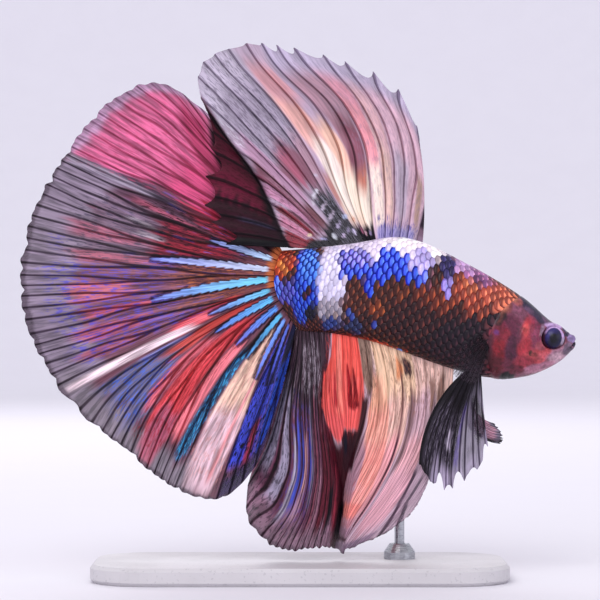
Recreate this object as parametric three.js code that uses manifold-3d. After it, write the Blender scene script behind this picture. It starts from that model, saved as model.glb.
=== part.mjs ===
// A life-size male halfmoon betta, held in mid-swim by a plain display stand.
// Millimetres, +Z up, head toward +X, right flank toward -Y, underside of the stand at Z = 0.

import * as THREE from "three";
import { ParametricGeometry } from "three/addons/geometries/ParametricGeometry.js";
import { mergeVertices } from "three/addons/utils/BufferGeometryUtils.js";
import Module from "manifold-3d";

const wasm = await Module();
wasm.setup();

// ---------------------------------------------------------------- driving sizes
const STANDARD_LENGTH = 42; // snout to the root of the tail fin
const NOSE_DOWN = 10.5; // degrees
const TAIL_ROOT_X = -2.66; // where the fish's own origin, the middle of the tail root, stands
const TAIL_ROOT_Z = 40.44;
const GAP = 0.3; // between pieces that were cut apart
const FIN_THICKNESS = 0.5;
const FIN_SEAT = 1.1; // how far a fin sheet reaches into the body before it is trimmed
const CUT_WELD = 2e-3; // corners closer than this after a cut are one corner
const CLEAR = 14; // above, below, beside and behind the body
const CLEAR_AHEAD = 50; // in front of the snout
const COVER_THICKNESS = 0.6; // of a gill cover

const BASE_LENGTH = 58;
const BASE_WIDTH = 28;
const BASE_HEIGHT = 2.5;
const BASE_CORNER = 8;
const BASE_BEVEL = 0.5;
const ROD_X = 14;
const ROD_Y = 2.5;
const ROD_RADIUS = 0.7;
const ROD_TOP = 37.5;
const COLLAR_RADIUS = 2.2;
const COLLAR_HEIGHT = 2.2;
const COLLAR_CLEARANCE = 0.05; // between the collar's bore and the rod

const EYE = { x: 38.55, z: 0.18, y: 1.62, radius: 1.62, depth: 1.15 };

// ---------------------------------------------------------------- body profile
// Heights of the back and belly and the half width, from 0 at the tail root to 1 at the snout.
const BACK = [[0, 5.4], [0.2, 8.1], [0.38, 10.3], [0.6, 8.2], [0.8, 5.05], [0.9, 2.6], [0.96, 1.6], [1, 0.4]];
const BELLY = [
  [0, -5.4], [0.2, -4.8], [0.35, -5], [0.6, -6.6], [0.76, -6.9], [0.85, -5.9], [0.9, -4.8],
  [0.96, -2.8], [1, -0.5],
];
const HALF_WIDTH = [
  [0, 0.6], [0.15, 2], [0.35, 3.2], [0.6, 3.95], [0.75, 4], [0.88, 3.1], [0.96, 1.8], [1, 0.4],
];
const WIDEST_LEVEL = 0.46;
// The tail root is a bow, furthest back at its own level.
const TAIL_BOW = { x: -1.4, level: 2.6, sweep: 0.08 };
const TAIL_BEND_END = 0.3;

const GILL_EDGE_ARC = { x: 38.3, z: -1.8, radius: 8.7, opening: 60 };
const GILL_COVER_OVAL = { x: 31.4, z: -0.6, halfLength: 3.6, halfHeight: 4.2 };
const JAW_OUTLINE = [
  [43.5, 0.7], [42.3, 0.4], [41.7, 0.1], [41, -1.2], [39.2, -2.4], [37.6, -4.1], [37.2, -8], [43.5, -8],
];

// ---------------------------------------------------------------- fin guides
// Each fin is drawn from guide rays: place across the fin, direction in degrees and distance in mm
// of the ray's tip from the fin's centre, and how many degrees the ray curls on its way.
const TAIL_GUIDES = [
  [0, 122, 24, -10], [0.07, 132, 34.2, -18], [0.2, 152, 36.3, -20], [0.42, 185, 37.4, 0], [0.6, 211, 35.3, 8],
  [0.76, 236, 31.9, 24], [0.91, 260, 31.3, 10], [0.97, 269, 26, 0], [1, 275.5, 16, 0],
];
const BACK_FIN_GUIDES = [
  [0, 77, 17.5, 17], [0.1, 90, 22, 15], [0.25, 109, 25.5, 36], [0.38, 121, 28.5, 34], [0.48, 130, 31.5, 6],
  [0.6, 142, 33.5, 8], [0.68, 148, 32, 5], [0.74, 153, 28, 10], [0.82, 162, 25, 28], [0.93, 178.5, 23.5, 26],
  [1, 192.5, 19.7, -2],
];
const BELLY_FIN_GUIDES = [
  [0, 233, 21, 0], [0.1, 242, 28.5, -35], [0.2, 252, 31, -36], [0.4, 267, 29.5, -10], [0.5, 272, 29.5, -15],
  [0.6, 273, 29, -42], [0.75, 281, 27, -44], [0.9, 290, 25, -35], [1, 295, 23.5, -25],
];
const RIGHT_PELVIC_GUIDES = [
  [0, 249, 14.8, 50], [0.25, 258, 16.2, 36], [0.5, 268, 16.9, 30], [0.75, 278, 14.6, 18], [1, 291, 10.2, 5],
];
const LEFT_PELVIC_GUIDES = [[0, 302, 10.8, 125], [0.35, 305, 10.4, 130], [0.7, 307, 9.3, 130], [1, 303, 7.8, 130]];
const PECTORAL_GUIDES = [[0, 218, 6.2, 14], [0.35, 232, 7.2, 10], [0.7, 247, 7, 4], [1, 260, 5.6, -4]];

// ---------------------------------------------------------------- small maths
const rad = THREE.MathUtils.degToRad;
const lerp = THREE.MathUtils.lerp;

function rise(x) {
  const t = THREE.MathUtils.clamp(x, 0, 1);
  return t * t * (3 - 2 * t);
}

// Smooth curve through [place, value, ...] rows.
function follow(rows, place, column = 1) {
  const last = rows.length - 1;
  let i = 0;
  while (i < last - 1 && place > rows[i + 1][0]) i += 1;
  const a = rows[i];
  const b = rows[i + 1];
  const span = b[0] - a[0];
  const t = THREE.MathUtils.clamp((place - a[0]) / span, 0, 1);
  const slopeAt = (k) => {
    const before = rows[Math.max(0, k - 1)];
    const after = rows[Math.min(last, k + 1)];
    return ((after[column] - before[column]) / (after[0] - before[0])) * span;
  };
  const t2 = t * t;
  const t3 = t2 * t;
  const start = (2 * t3 - 3 * t2 + 1) * a[column] + (t3 - 2 * t2 + t) * slopeAt(i);
  return start + (-2 * t3 + 3 * t2) * b[column] + (t3 - t2) * slopeAt(i + 1);
}

// ---------------------------------------------------------------- solids
function signedVolume(geometry) {
  const p = geometry.attributes.position;
  const index = geometry.index;
  const a = new THREE.Vector3();
  const b = new THREE.Vector3();
  const c = new THREE.Vector3();
  let volume = 0;
  for (let i = 0; i < index.count; i += 3) {
    a.fromBufferAttribute(p, index.getX(i));
    b.fromBufferAttribute(p, index.getX(i + 1));
    c.fromBufferAttribute(p, index.getX(i + 2));
    volume += a.dot(b.cross(c)) / 6;
  }
  return volume;
}

// Merges the corners, drops faces without area and turns the faces outward.
function closed(source, weld = 1e-4) {
  const bare = new THREE.BufferGeometry();
  bare.setAttribute("position", source.attributes.position.clone());
  if (source.index) bare.setIndex(source.index.clone());
  const merged = mergeVertices(bare, weld);
  const faces = new Map();
  for (let i = 0; i < merged.index.count; i += 3) {
    const face = [merged.index.getX(i), merged.index.getX(i + 1), merged.index.getX(i + 2)];
    if (new Set(face).size < 3) continue;
    // Two faces on the same three corners lie back to back and cancel.
    const key = [...face].sort((a, b) => a - b).join();
    if (faces.has(key)) faces.delete(key);
    else faces.set(key, face);
  }
  const kept = [...faces.values()];
  merged.setIndex(kept.flat());
  if (signedVolume(merged) < 0) merged.setIndex(kept.map(([a, b, c]) => [a, c, b]).flat());
  return merged;
}

function solid(geometry) {
  const ready = closed(geometry);
  return new wasm.Manifold(
    new wasm.Mesh({
      numProp: 3,
      vertProperties: new Float32Array(ready.attributes.position.array),
      triVerts: new Uint32Array(ready.index.array),
    }),
  );
}

function geometryOf(manifold) {
  const mesh = manifold.getMesh();
  const cut = new THREE.BufferGeometry();
  cut.setAttribute("position", new THREE.BufferAttribute(new Float32Array(mesh.vertProperties), 3));
  cut.setIndex(new THREE.BufferAttribute(new Uint32Array(mesh.triVerts), 1));
  const geometry = closed(cut, CUT_WELD);
  geometry.computeVertexNormals();
  return geometry;
}

// ---------------------------------------------------------------- the body
function tailEdge(z) {
  return TAIL_BOW.x + TAIL_BOW.sweep * (z - TAIL_BOW.level) ** 2;
}

// A point on the skin; grow moves it outward.
function bodyPoint(along, around, grow, target) {
  const top = follow(BACK, along) + grow;
  const bottom = follow(BELLY, along) - grow;
  const half = follow(HALF_WIDTH, along) + grow;
  const middle = lerp(bottom, top, WIDEST_LEVEL);
  const sine = Math.sin(around);
  const z = middle + sine * (sine > 0 ? top - middle : middle - bottom);
  const bend = Math.max(0, 1 - along / TAIL_BEND_END) ** 2;
  const x = STANDARD_LENGTH * along + tailEdge(z) * bend + grow * (2 * along - 1);
  target.set(x, half * Math.cos(around), z);
}

function bodySolid(grow = 0, rings = 30, sides = 20) {
  const shape = (u, v, target) => {
    const ring = THREE.MathUtils.clamp((v * (rings + 2) - 1) / rings, 0, 1);
    bodyPoint(Math.sin(ring * Math.PI * 0.5), u * Math.PI * 2, grow, target);
    if (v > 0 && v < 1) return;
    // The first and last rows close the ends on the middle plane.
    target.y = 0;
  };
  return solid(new ParametricGeometry(shape, sides, rings + 2));
}

// A flat outline in the side view, carried across the body from side to side.
function slab(outline, from = -CLEAR, to = CLEAR) {
  const shape = new THREE.Shape(outline.map(([x, z]) => new THREE.Vector2(x, z)));
  const block = new THREE.ExtrudeGeometry(shape, { depth: to - from, bevelEnabled: false });
  block.rotateX(Math.PI / 2);
  block.translate(0, to, 0);
  return solid(block);
}

function arc({ x, z, radius, opening }, steps) {
  return Array.from({ length: steps + 1 }, (_, i) => {
    const angle = Math.PI + rad(lerp(-opening, opening, i / steps));
    return [x + radius * Math.cos(angle), z + radius * Math.sin(angle)];
  });
}

function oval({ x, z, halfLength, halfHeight }, steps, grow = 0) {
  return Array.from({ length: steps }, (_, i) => {
    const angle = (i / steps) * Math.PI * 2;
    return [x + (halfLength + grow) * Math.cos(angle), z + (halfHeight + grow) * Math.sin(angle)];
  });
}

function grownOutline(outline, amount) {
  const centre = [0, 1].map((axis) => outline.reduce((sum, point) => sum + point[axis] / outline.length, 0));
  return outline.map(([x, z]) => {
    const away = new THREE.Vector2(x - centre[0], z - centre[1]);
    const scale = 1 + amount / away.length();
    return [centre[0] + away.x * scale, centre[1] + away.y * scale];
  });
}

const GILL_EDGE = arc(GILL_EDGE_ARC, 20);
const shifted = (edge, shift) => edge.map(([x, z]) => [x + shift, z]);
const behind = (edge, shift) => [[-CLEAR, CLEAR], ...shifted(edge, shift), [-CLEAR, -CLEAR]];
const ahead = (edge, shift) => [[CLEAR_AHEAD, CLEAR], ...shifted(edge, shift), [CLEAR_AHEAD, -CLEAR]];
const STALK_EDGE = [[9.2, CLEAR], [8.2, 3], [8.2, -3], [9.2, -CLEAR]];

const body = bodySolid();
const bodyRoom = bodySolid(GAP);

const trunkAndStalk = body.intersect(slab(behind(GILL_EDGE, -GAP)));
const stalk = trunkAndStalk.intersect(slab(behind(STALK_EDGE, -GAP)));
const trunk = trunkAndStalk.intersect(slab(ahead(STALK_EDGE, 0)));

const jaw = body.intersect(slab(JAW_OUTLINE));
let head = body.intersect(slab(ahead(GILL_EDGE, 0))).subtract(slab(grownOutline(JAW_OUTLINE, GAP + 0.1)));

const coverCore = bodySolid(-COVER_THICKNESS);
const coverSeat = bodySolid(-COVER_THICKNESS - GAP);
const sides = { right: [-CLEAR, 0], left: [0, CLEAR] };
const covers = {};
for (const [side, [from, to]] of Object.entries(sides)) {
  covers[side] = head.intersect(slab(oval(GILL_COVER_OVAL, 24), from, to)).subtract(coverCore);
}
for (const [from, to] of Object.values(sides)) {
  head = head.subtract(slab(oval(GILL_COVER_OVAL, 24, GAP), from, to).subtract(coverSeat));
}

function eyeBall(side, grow = 0) {
  const ball = new THREE.SphereGeometry(1, 16, 10);
  ball.scale(EYE.radius + grow, EYE.depth + grow, EYE.radius + grow);
  ball.translate(EYE.x, side * EYE.y, EYE.z);
  return solid(ball);
}
head = head.subtract(eyeBall(-1, GAP)).subtract(eyeBall(1, GAP));

// ---------------------------------------------------------------- the fins
// A ray is an arc from its root to its tip; out runs from 0 to 1 along it.
function rayPoint({ guides, centre }, root, across, out, target) {
  const direction = rad(follow(guides, across, 1));
  const distance = follow(guides, across, 2);
  const curl = rad(follow(guides, across, 3)) || 1e-6;
  const chordX = centre[0] + distance * Math.cos(direction) - root[0];
  const chordZ = centre[1] + distance * Math.sin(direction) - root[1];
  const chord = Math.hypot(chordX, chordZ);
  const heading = Math.atan2(chordZ, chordX) - curl / 2;
  const radius = chord / (2 * Math.sin(curl / 2));
  target.x = root[0] + radius * (Math.sin(heading + curl * out) - Math.sin(heading));
  target.z = root[1] - radius * (Math.cos(heading + curl * out) - Math.cos(heading));
  return chord;
}

function backPoint(x) {
  return [x, follow(BACK, x / STANDARD_LENGTH)];
}

function bellyPoint(x) {
  return [x, follow(BELLY, x / STANDARD_LENGTH)];
}

// Sideways set of each fin, in mm, across it and out along its rays.
function tailSway(across, out) {
  const upper = 2.6 * rise(1 - across / 0.5) * rise(out * 0.9);
  const lower = -1.9 * rise((across - 0.6) / 0.4) * rise(out * 1.3);
  const folds = 0.75 * Math.sin(across * 23 + 0.6) * out ** 2;
  return upper + lower + folds;
}

// How far out along each rear ray of the back fin its front panel folds over the rear one.
const BACK_FIN_CREASE = [[0.64, 1.15], [0.72, 0.95], [0.8, 0.68], [0.9, 0.41], [1, 0.22]];

function dorsalSway(across, out) {
  const near = -4.4 * rise(across / 0.7) * rise(out / 0.9) - 0.5 * Math.sin(across * 19) * out ** 2;
  const far = -1.5 * rise(out / 0.22);
  const folded = rise((out - follow(BACK_FIN_CREASE, across)) / 0.3 + 0.5) * rise((across - 0.6) / 0.06);
  return lerp(near, far, folded);
}

function analValley(out) {
  const left = follow([[0, 0.4], [0.3, 0.28], [0.55, 0.4], [0.75, 0.45], [1, 0.45]], out);
  const right = follow([[0, 0.55], [0.3, 0.62], [0.55, 0.52], [0.75, 0.49], [1, 0.49]], out);
  return [left, right];
}

function analSway(across, out) {
  const [left, right] = analValley(out);
  const inside = rise((across - left) / 0.06 + 0.5) * rise((right - across) / 0.06 + 0.5);
  const near = -1.5 * rise(out / 0.5) * rise(across / 0.14) + 1.3 * rise(1 - across / 0.1) * rise(out / 0.6);
  const folds = 0.5 * Math.sin(across * 31) * out ** 2;
  return near + folds + 2.3 * inside * rise(out / 0.3);
}

const FINS = {
  caudal_fin: {
    guides: TAIL_GUIDES,
    centre: [1, 0],
    root: (u) => {
      const z = lerp(5.3, -4.9, u ** 1.25);
      return [tailEdge(z), z];
    },
    sway: tailSway,
    across: 28,
    out: 8,
  },
  dorsal_fin: {
    guides: BACK_FIN_GUIDES,
    centre: [10.5, 9],
    root: (u) => backPoint(18.3 - 15.3 * u),
    sway: dorsalSway,
    across: 28,
    out: 9,
  },
  anal_fin: {
    guides: BELLY_FIN_GUIDES,
    centre: [14, -5.5],
    root: (u) => bellyPoint(3.1 + 22.7 * u ** 1.6),
    sway: analSway,
    across: 28,
    out: 8,
  },
  pelvic_fin_right: {
    guides: RIGHT_PELVIC_GUIDES,
    centre: [28.6, -6.6],
    root: (u) => [27.5 + 2.1 * u, -6.4],
    sway: (u, v) => -1.1 - 2 * v ** 1.3 - 0.35 * Math.sin(u * 9) * v,
    across: 10,
    out: 8,
  },
  pelvic_fin_left: {
    guides: LEFT_PELVIC_GUIDES,
    centre: [28.6, -6.6],
    root: (u) => [28.1 + 1.9 * u, -6.4],
    sway: (u, v) => 1.1 + 1.8 * v ** 1.2 + 0.4 * Math.sin(u * 7) * v,
    across: 8,
    out: 8,
  },
};

function pectoral(side) {
  const flare = rad(32);
  return (u, v, target) => {
    const length = rayPoint({ guides: PECTORAL_GUIDES, centre: [0, 0] }, [0, 0], u, v, target);
    const spread = target.clone();
    target.x = 29 + 0.9 * u + spread.x * Math.cos(flare);
    target.z = -0.7 - 1.6 * u + spread.z * 0.96;
    target.y = side * (3.6 + length * v * Math.sin(flare) + 0.25 * Math.sin(u * 6) * v);
  };
}

function finSurface(fin) {
  return (u, v, target) => {
    rayPoint(fin, fin.root(u), u, v, target);
    target.y = fin.sway(u, Math.max(0, v));
  };
}

// Thickens a sheet into a closed solid: out along one face, back along the other.
function sheetSolid(surface, across, out, seat) {
  const here = new THREE.Vector3();
  const alongU = new THREE.Vector3();
  const alongV = new THREE.Vector3();
  const step = 1e-3;
  const shape = (u, v, target) => {
    const front = u < 0.5;
    const place = front ? u * 2 : 2 - u * 2;
    const inner = (v * (out + 2) - 1) / out;
    const reach = lerp(-seat, 1, THREE.MathUtils.clamp(inner, 0, 1));
    surface(place, reach, here);
    surface(Math.min(1, place + step), reach, alongU);
    surface(Math.max(0, place - step), reach, target);
    alongU.sub(target);
    surface(place, reach + step, alongV);
    surface(place, reach - step, target);
    alongV.sub(target);
    const normal = alongU.cross(alongV).normalize();
    const edge = v > 0 && v < 1 && place > 1e-6 && place < 1 - 1e-6;
    const offset = edge ? (front ? 1 : -1) * FIN_THICKNESS * 0.5 : 0;
    target.copy(here).addScaledVector(normal, offset);
  };
  return solid(new ParametricGeometry(shape, across * 2, out + 2));
}

function mesh(name, manifold, color, roughness = 0.4, metalness = 0) {
  const material = new THREE.MeshStandardMaterial({ color, roughness, metalness });
  const made = new THREE.Mesh(geometryOf(manifold), material);
  made.name = name;
  return made;
}

const fish = new THREE.Group();
fish.rotation.y = rad(NOSE_DOWN);
fish.position.set(TAIL_ROOT_X, 0, TAIL_ROOT_Z);

fish.add(mesh("trunk", trunk, 0x6a4a4c));
fish.add(mesh("tail_stalk", stalk, 0x4a5fc0));
fish.add(mesh("head", head, 0x7a2f36));
fish.add(mesh("lower_jaw", jaw, 0xb79aa6));
fish.add(mesh("gill_cover_right", covers.right, 0x7e2431));
fish.add(mesh("gill_cover_left", covers.left, 0x7e2431));
fish.add(mesh("eye_right", eyeBall(-1), 0x14121f, 0.1));
fish.add(mesh("eye_left", eyeBall(1), 0x14121f, 0.1));

const finColors = {
  caudal_fin: 0xa85a72,
  dorsal_fin: 0xb39fb0,
  anal_fin: 0xb05a58,
  pelvic_fin_right: 0x2a2228,
  pelvic_fin_left: 0x9a8a92,
};
for (const [name, fin] of Object.entries(FINS)) {
  const seat = FIN_SEAT / follow(fin.guides, 0.5, 2);
  const sheet = sheetSolid(finSurface(fin), fin.across, fin.out, seat).subtract(bodyRoom);
  fish.add(mesh(name, sheet, finColors[name], 0.5));
}
for (const [side, sign] of [["right", -1], ["left", 1]]) {
  const sheet = sheetSolid(pectoral(sign), 8, 6, 0.2).subtract(bodyRoom);
  fish.add(mesh(`pectoral_fin_${side}`, sheet, 0x2e262c, 0.5));
}
fish.updateMatrixWorld(true);

// ---------------------------------------------------------------- the stand
function baseOutline() {
  const x = BASE_LENGTH / 2 - BASE_BEVEL;
  const y = BASE_WIDTH / 2 - BASE_BEVEL;
  const r = BASE_CORNER;
  const shape = new THREE.Shape();
  shape.moveTo(-x + r, -y);
  shape.lineTo(x - r, -y);
  shape.absarc(x - r, -y + r, r, -Math.PI / 2, 0);
  shape.lineTo(x, y - r);
  shape.absarc(x - r, y - r, r, 0, Math.PI / 2);
  shape.lineTo(-x + r, y);
  shape.absarc(-x + r, y - r, r, Math.PI / 2, Math.PI);
  shape.lineTo(-x, -y + r);
  shape.absarc(-x + r, -y + r, r, Math.PI, Math.PI * 1.5);
  return shape;
}

const plate = new THREE.ExtrudeGeometry(baseOutline(), {
  depth: BASE_HEIGHT - 2 * BASE_BEVEL,
  bevelThickness: BASE_BEVEL,
  bevelSize: BASE_BEVEL,
  bevelSegments: 1,
  curveSegments: 5,
});
plate.translate(0, 0, BASE_BEVEL);

const rodLength = ROD_TOP - BASE_HEIGHT;
const rodBlank = new THREE.CylinderGeometry(ROD_RADIUS, ROD_RADIUS, rodLength, 16);
rodBlank.rotateX(Math.PI / 2);
rodBlank.translate(ROD_X, ROD_Y, BASE_HEIGHT + rodLength / 2);
const bodyRoomStanding = solid(geometryOf(bodyRoom).applyMatrix4(fish.matrixWorld));

const collarProfile = [
  new THREE.Vector2(ROD_RADIUS + COLLAR_CLEARANCE, 0),
  new THREE.Vector2(COLLAR_RADIUS, 0),
  new THREE.Vector2(COLLAR_RADIUS, COLLAR_HEIGHT * 0.45),
  new THREE.Vector2(COLLAR_RADIUS * 0.62, COLLAR_HEIGHT),
  new THREE.Vector2(ROD_RADIUS + COLLAR_CLEARANCE, COLLAR_HEIGHT),
  new THREE.Vector2(ROD_RADIUS + COLLAR_CLEARANCE, 0),
];
const collar = new THREE.LatheGeometry(collarProfile, 20);
collar.rotateX(Math.PI / 2);
collar.translate(ROD_X, ROD_Y, BASE_HEIGHT);

const model = new THREE.Group();
model.add(fish);
model.add(mesh("stand_base", solid(plate), 0xcfccc6, 0.55));
model.add(mesh("stand_rod", solid(rodBlank).subtract(bodyRoomStanding), 0xb4b6ba, 0.3, 1));
model.add(mesh("stand_collar", solid(collar), 0xb4b6ba, 0.3, 1));

export default model;
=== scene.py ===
import math

import bmesh
import bpy
import numpy as np
from bpy.props import FloatProperty, FloatVectorProperty, IntProperty, PointerProperty
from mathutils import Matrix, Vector


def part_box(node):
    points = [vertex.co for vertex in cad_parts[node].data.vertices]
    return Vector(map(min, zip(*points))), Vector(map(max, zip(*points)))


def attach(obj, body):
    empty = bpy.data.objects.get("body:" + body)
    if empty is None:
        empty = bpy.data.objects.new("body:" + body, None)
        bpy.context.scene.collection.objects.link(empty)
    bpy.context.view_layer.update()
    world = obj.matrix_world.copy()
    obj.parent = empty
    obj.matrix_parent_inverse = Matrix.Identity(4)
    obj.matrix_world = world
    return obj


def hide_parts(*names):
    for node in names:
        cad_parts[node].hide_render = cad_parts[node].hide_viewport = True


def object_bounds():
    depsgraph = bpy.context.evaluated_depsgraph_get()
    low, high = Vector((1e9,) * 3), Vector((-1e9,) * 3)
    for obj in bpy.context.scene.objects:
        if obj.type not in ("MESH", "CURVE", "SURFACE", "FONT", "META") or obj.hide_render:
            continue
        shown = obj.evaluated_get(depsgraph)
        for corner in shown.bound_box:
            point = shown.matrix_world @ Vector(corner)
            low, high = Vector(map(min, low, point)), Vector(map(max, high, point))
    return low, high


bl_info = {
    "name": "Betta Display Model",
    "version": (1, 0, 0),
    "blender": (4, 5, 0),
    "location": "3D View > Sidebar > Betta",
    "description": "Skin, scales, eyes, rayed fins and stand finish of a life-size halfmoon betta",
    "category": "Object",
}

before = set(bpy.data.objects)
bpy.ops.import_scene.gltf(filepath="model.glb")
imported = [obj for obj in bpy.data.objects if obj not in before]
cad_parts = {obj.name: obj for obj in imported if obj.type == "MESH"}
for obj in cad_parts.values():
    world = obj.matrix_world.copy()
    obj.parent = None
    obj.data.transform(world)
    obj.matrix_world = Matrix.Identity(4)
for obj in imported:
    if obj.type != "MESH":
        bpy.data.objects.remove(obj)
box_at_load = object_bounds()

# ---------------------------------------------------------------- driving sizes
# Shapes are drawn in millimetres on the fish itself: x forward from the tail root, z up, y to its left.
MM = 0.001
STANDARD_LENGTH = 42.0
NOSE_DOWN = math.radians(10.5)
EYE = {"x": 38.55, "z": 0.18, "y": 1.62, "radius": 1.62, "depth": 1.15}
IRIS = (1.16, 1.46)

BACK = [(0, 5.4), (0.2, 8.1), (0.38, 10.3), (0.6, 8.2), (0.8, 5.05), (0.9, 2.6), (0.96, 1.6), (1, 0.4)]
BELLY = [
    (0, -5.4), (0.2, -4.8), (0.35, -5), (0.6, -6.6), (0.76, -6.9), (0.85, -5.9), (0.9, -4.8),
    (0.96, -2.8), (1, -0.5),
]
HALF_WIDTH = [(0, 0.6), (0.15, 2), (0.35, 3.2), (0.6, 3.95), (0.75, 4), (0.88, 3.1), (0.96, 1.8), (1, 0.4)]
WIDEST_LEVEL = 0.46
TAIL_BOW = {"x": -1.4, "level": 2.6, "sweep": 0.08}
TAIL_BEND_END = 0.3
SKIN_DEPTH = 0.14
FACE_DEPTH = 0.04
NOSE_ROUNDING = 0.985
GILL_ARC = {"x": 38.3, "z": -1.8, "radius": 8.7}
CHEEK_ARC = {"x": 39.9, "z": -1.2, "radius": 6.3}
MOUTH_FRONT = (42.0, 0.35)
MOUTH_CORNER = (40.95, -1.2)
NOSTRIL = (40.55, 1.15)
LIP = (41.35, 0.75)
MOUTH_DIMPLE = (41.85, 0.1)
EYE_RIM = 1.86
EYE_SOCKET = 1.42
THROAT_FOLDS = (30.5, 36)
# How far each fold of the head stands out or goes in, in mm.
FOLDS = {
    "gill flap": 0.12, "gill groove": 0.08, "cheek groove": 0.1, "cheek ridge": 0.07, "eye rim": 0.17,
    "socket": 0.95, "mouth slit": 0.2, "mouth edge": 0.13, "lip": 0.34, "dimple": 0.22,
    "nostril rim": 0.06, "nostril": 0.14, "throat": 0.05,
}
SKIN_GRID = (160, 250)
# The trunk takes these shares of the skin's rows and of its length, and the head takes the rest.
TRUNK_SHARE = (0.36, 0.68)
HEAD_SHARE = (0.64, 0.32)
NO_LENGTH = 1e-8
SKIN_WELD = 2e-6
EYE_WELD = 1e-7

# Scales: where their columns start and end along the body, the step from one to the next, how far each
# reaches over its neighbour, its width, and how far its middle is domed, in mm.
SCALES_FROM = 0.005
SCALES_TO = 0.83
SCALE_PITCH = 0.53
SCALE_OVERLAP = 1.3
SCALE_WIDTH = 0.58
SCALE_DOME = 0.035

# Guide rays of the fins: place across the fin, direction in degrees and distance of the tip from the
# fin's centre, and how many degrees the ray curls.
TAIL_GUIDES = [
    (0, 122, 24, -10), (0.07, 132, 34.2, -18), (0.2, 152, 36.3, -20), (0.42, 185, 37.4, 0),
    (0.6, 211, 35.3, 8), (0.76, 236, 31.9, 24), (0.91, 260, 31.3, 10), (0.97, 269, 26, 0),
    (1, 275.5, 16, 0),
]
BACK_FIN_GUIDES = [
    (0, 77, 17.5, 17), (0.1, 90, 22, 15), (0.25, 109, 25.5, 36), (0.38, 121, 28.5, 34),
    (0.48, 130, 31.5, 6), (0.6, 142, 33.5, 8), (0.68, 148, 32, 5), (0.74, 153, 28, 10),
    (0.82, 162, 25, 28), (0.93, 178.5, 23.5, 26), (1, 192.5, 19.7, -2),
]
BELLY_FIN_GUIDES = [
    (0, 233, 21, 0), (0.1, 242, 28.5, -35), (0.2, 252, 31, -36), (0.4, 267, 29.5, -10),
    (0.5, 272, 29.5, -15), (0.6, 273, 29, -42), (0.75, 281, 27, -44), (0.9, 290, 25, -35),
    (1, 295, 23.5, -25),
]
RIGHT_PELVIC_GUIDES = [
    (0, 249, 14.8, 50), (0.25, 258, 16.2, 36), (0.5, 268, 16.9, 30), (0.75, 278, 14.6, 18),
    (1, 291, 10.2, 5),
]
LEFT_PELVIC_GUIDES = [(0, 302, 10.8, 125), (0.35, 305, 10.4, 130), (0.7, 307, 9.3, 130), (1, 303, 7.8, 130)]
PECTORAL_GUIDES = [(0, 218, 6.2, 14), (0.35, 232, 7.2, 10), (0.7, 247, 7, 4), (1, 260, 5.6, -4)]
BACK_FIN_CREASE = [(0.64, 1.15), (0.72, 0.95), (0.8, 0.68), (0.9, 0.41), (1, 0.22)]
VALLEY_LEFT = [(0, 0.4), (0.3, 0.28), (0.55, 0.4), (0.75, 0.45), (1, 0.45)]
VALLEY_RIGHT = [(0, 0.55), (0.3, 0.62), (0.55, 0.52), (0.75, 0.49), (1, 0.49)]
FIN_SEAT = 1.1
PECTORAL_FLARE = math.radians(32)

# Rays: how many main ones, where those of the back fin meet its edge, and how they lean and bow on the way.
TAIL_RAYS = 14
BELLY_RAYS = 24
TAIL_RAY_LEAN = [(0, 0.12), (0.2, 0.11), (0.33, 0), (0.62, 0), (0.7, 0.07), (0.82, 0.06), (0.87, 0), (1, 0)]
BACK_RAY_PLACES = (
    0, 0.095, 0.165, 0.235, 0.3, 0.385, 0.43, 0.465, 0.5, 0.545, 0.58, 0.615, 0.66, 0.705, 0.765, 0.81,
    0.87, 0.91, 0.945, 0.975, 1,
)
BACK_RAY_BOW = [(0, 0.05), (0.25, 0), (0.45, -0.035), (0.68, -0.03), (0.88, 0.004), (1, 0)]
BACK_RAYS = len(BACK_RAY_PLACES) - 1
BACK_HOLLOWS = [
    (0, 0.09), (0.12, 0.075), (0.2, 0.045), (0.33, 0.045), (0.38, 0.01), (0.66, 0.012), (0.71, 0.035),
    (0.775, 0.1), (0.84, 0.105), (0.9, 0.13), (0.97, 0.2), (1, 0.12),
]
BACK_REAR_SPIKES = (0.65, 0.745, 0.8, 0.88, 0.925, 1.0)
FORK_STARTS = (0.12, 0.45)
FORK_LENGTH = 0.33

# Each fin's sheet: points across and out, length and pleat height in mm, how far its rays' two forks part.
TAIL_SHEET = {"grid": (400, 118), "length": 33, "pleat": 0.05, "fork": (0.25, 0.125)}
BACK_SHEET = {"grid": (400, 100), "length": 25, "pleat": 0.1, "fork": (0.03, 0)}
BELLY_SHEET = {"grid": (400, 110), "length": 28, "pleat": 0.06, "fork": (0.25, 0)}
SMALL_SHEET = {"grid": (120, 60), "pleat": 0.06, "fork": (0.2, 0)}
# Each fin's membrane: its grain, then its dashes, across and along the rays; how dark the painted shade of
# its pleats is; how wide a ray is at the root and at the margin; how dark the rays and the silk are.
TAIL_LOOK = ((15, 7), (30, 26), 0.12, (0.09, 0.026), 0.92, 0.42)
BACK_LOOK = ((6.5, 8), (11, 24), 0.22, (0.07, 0.05), 0.85, 0.16)
BELLY_LOOK = ((7, 7), (14, 26), 0.14, (0.1, 0.05), 0.9, 0.36)
SMALL_LOOK = ((7, 5), (13, 14), 0.2, (0.12, 0.06), 0.9, 0.3)

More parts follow.
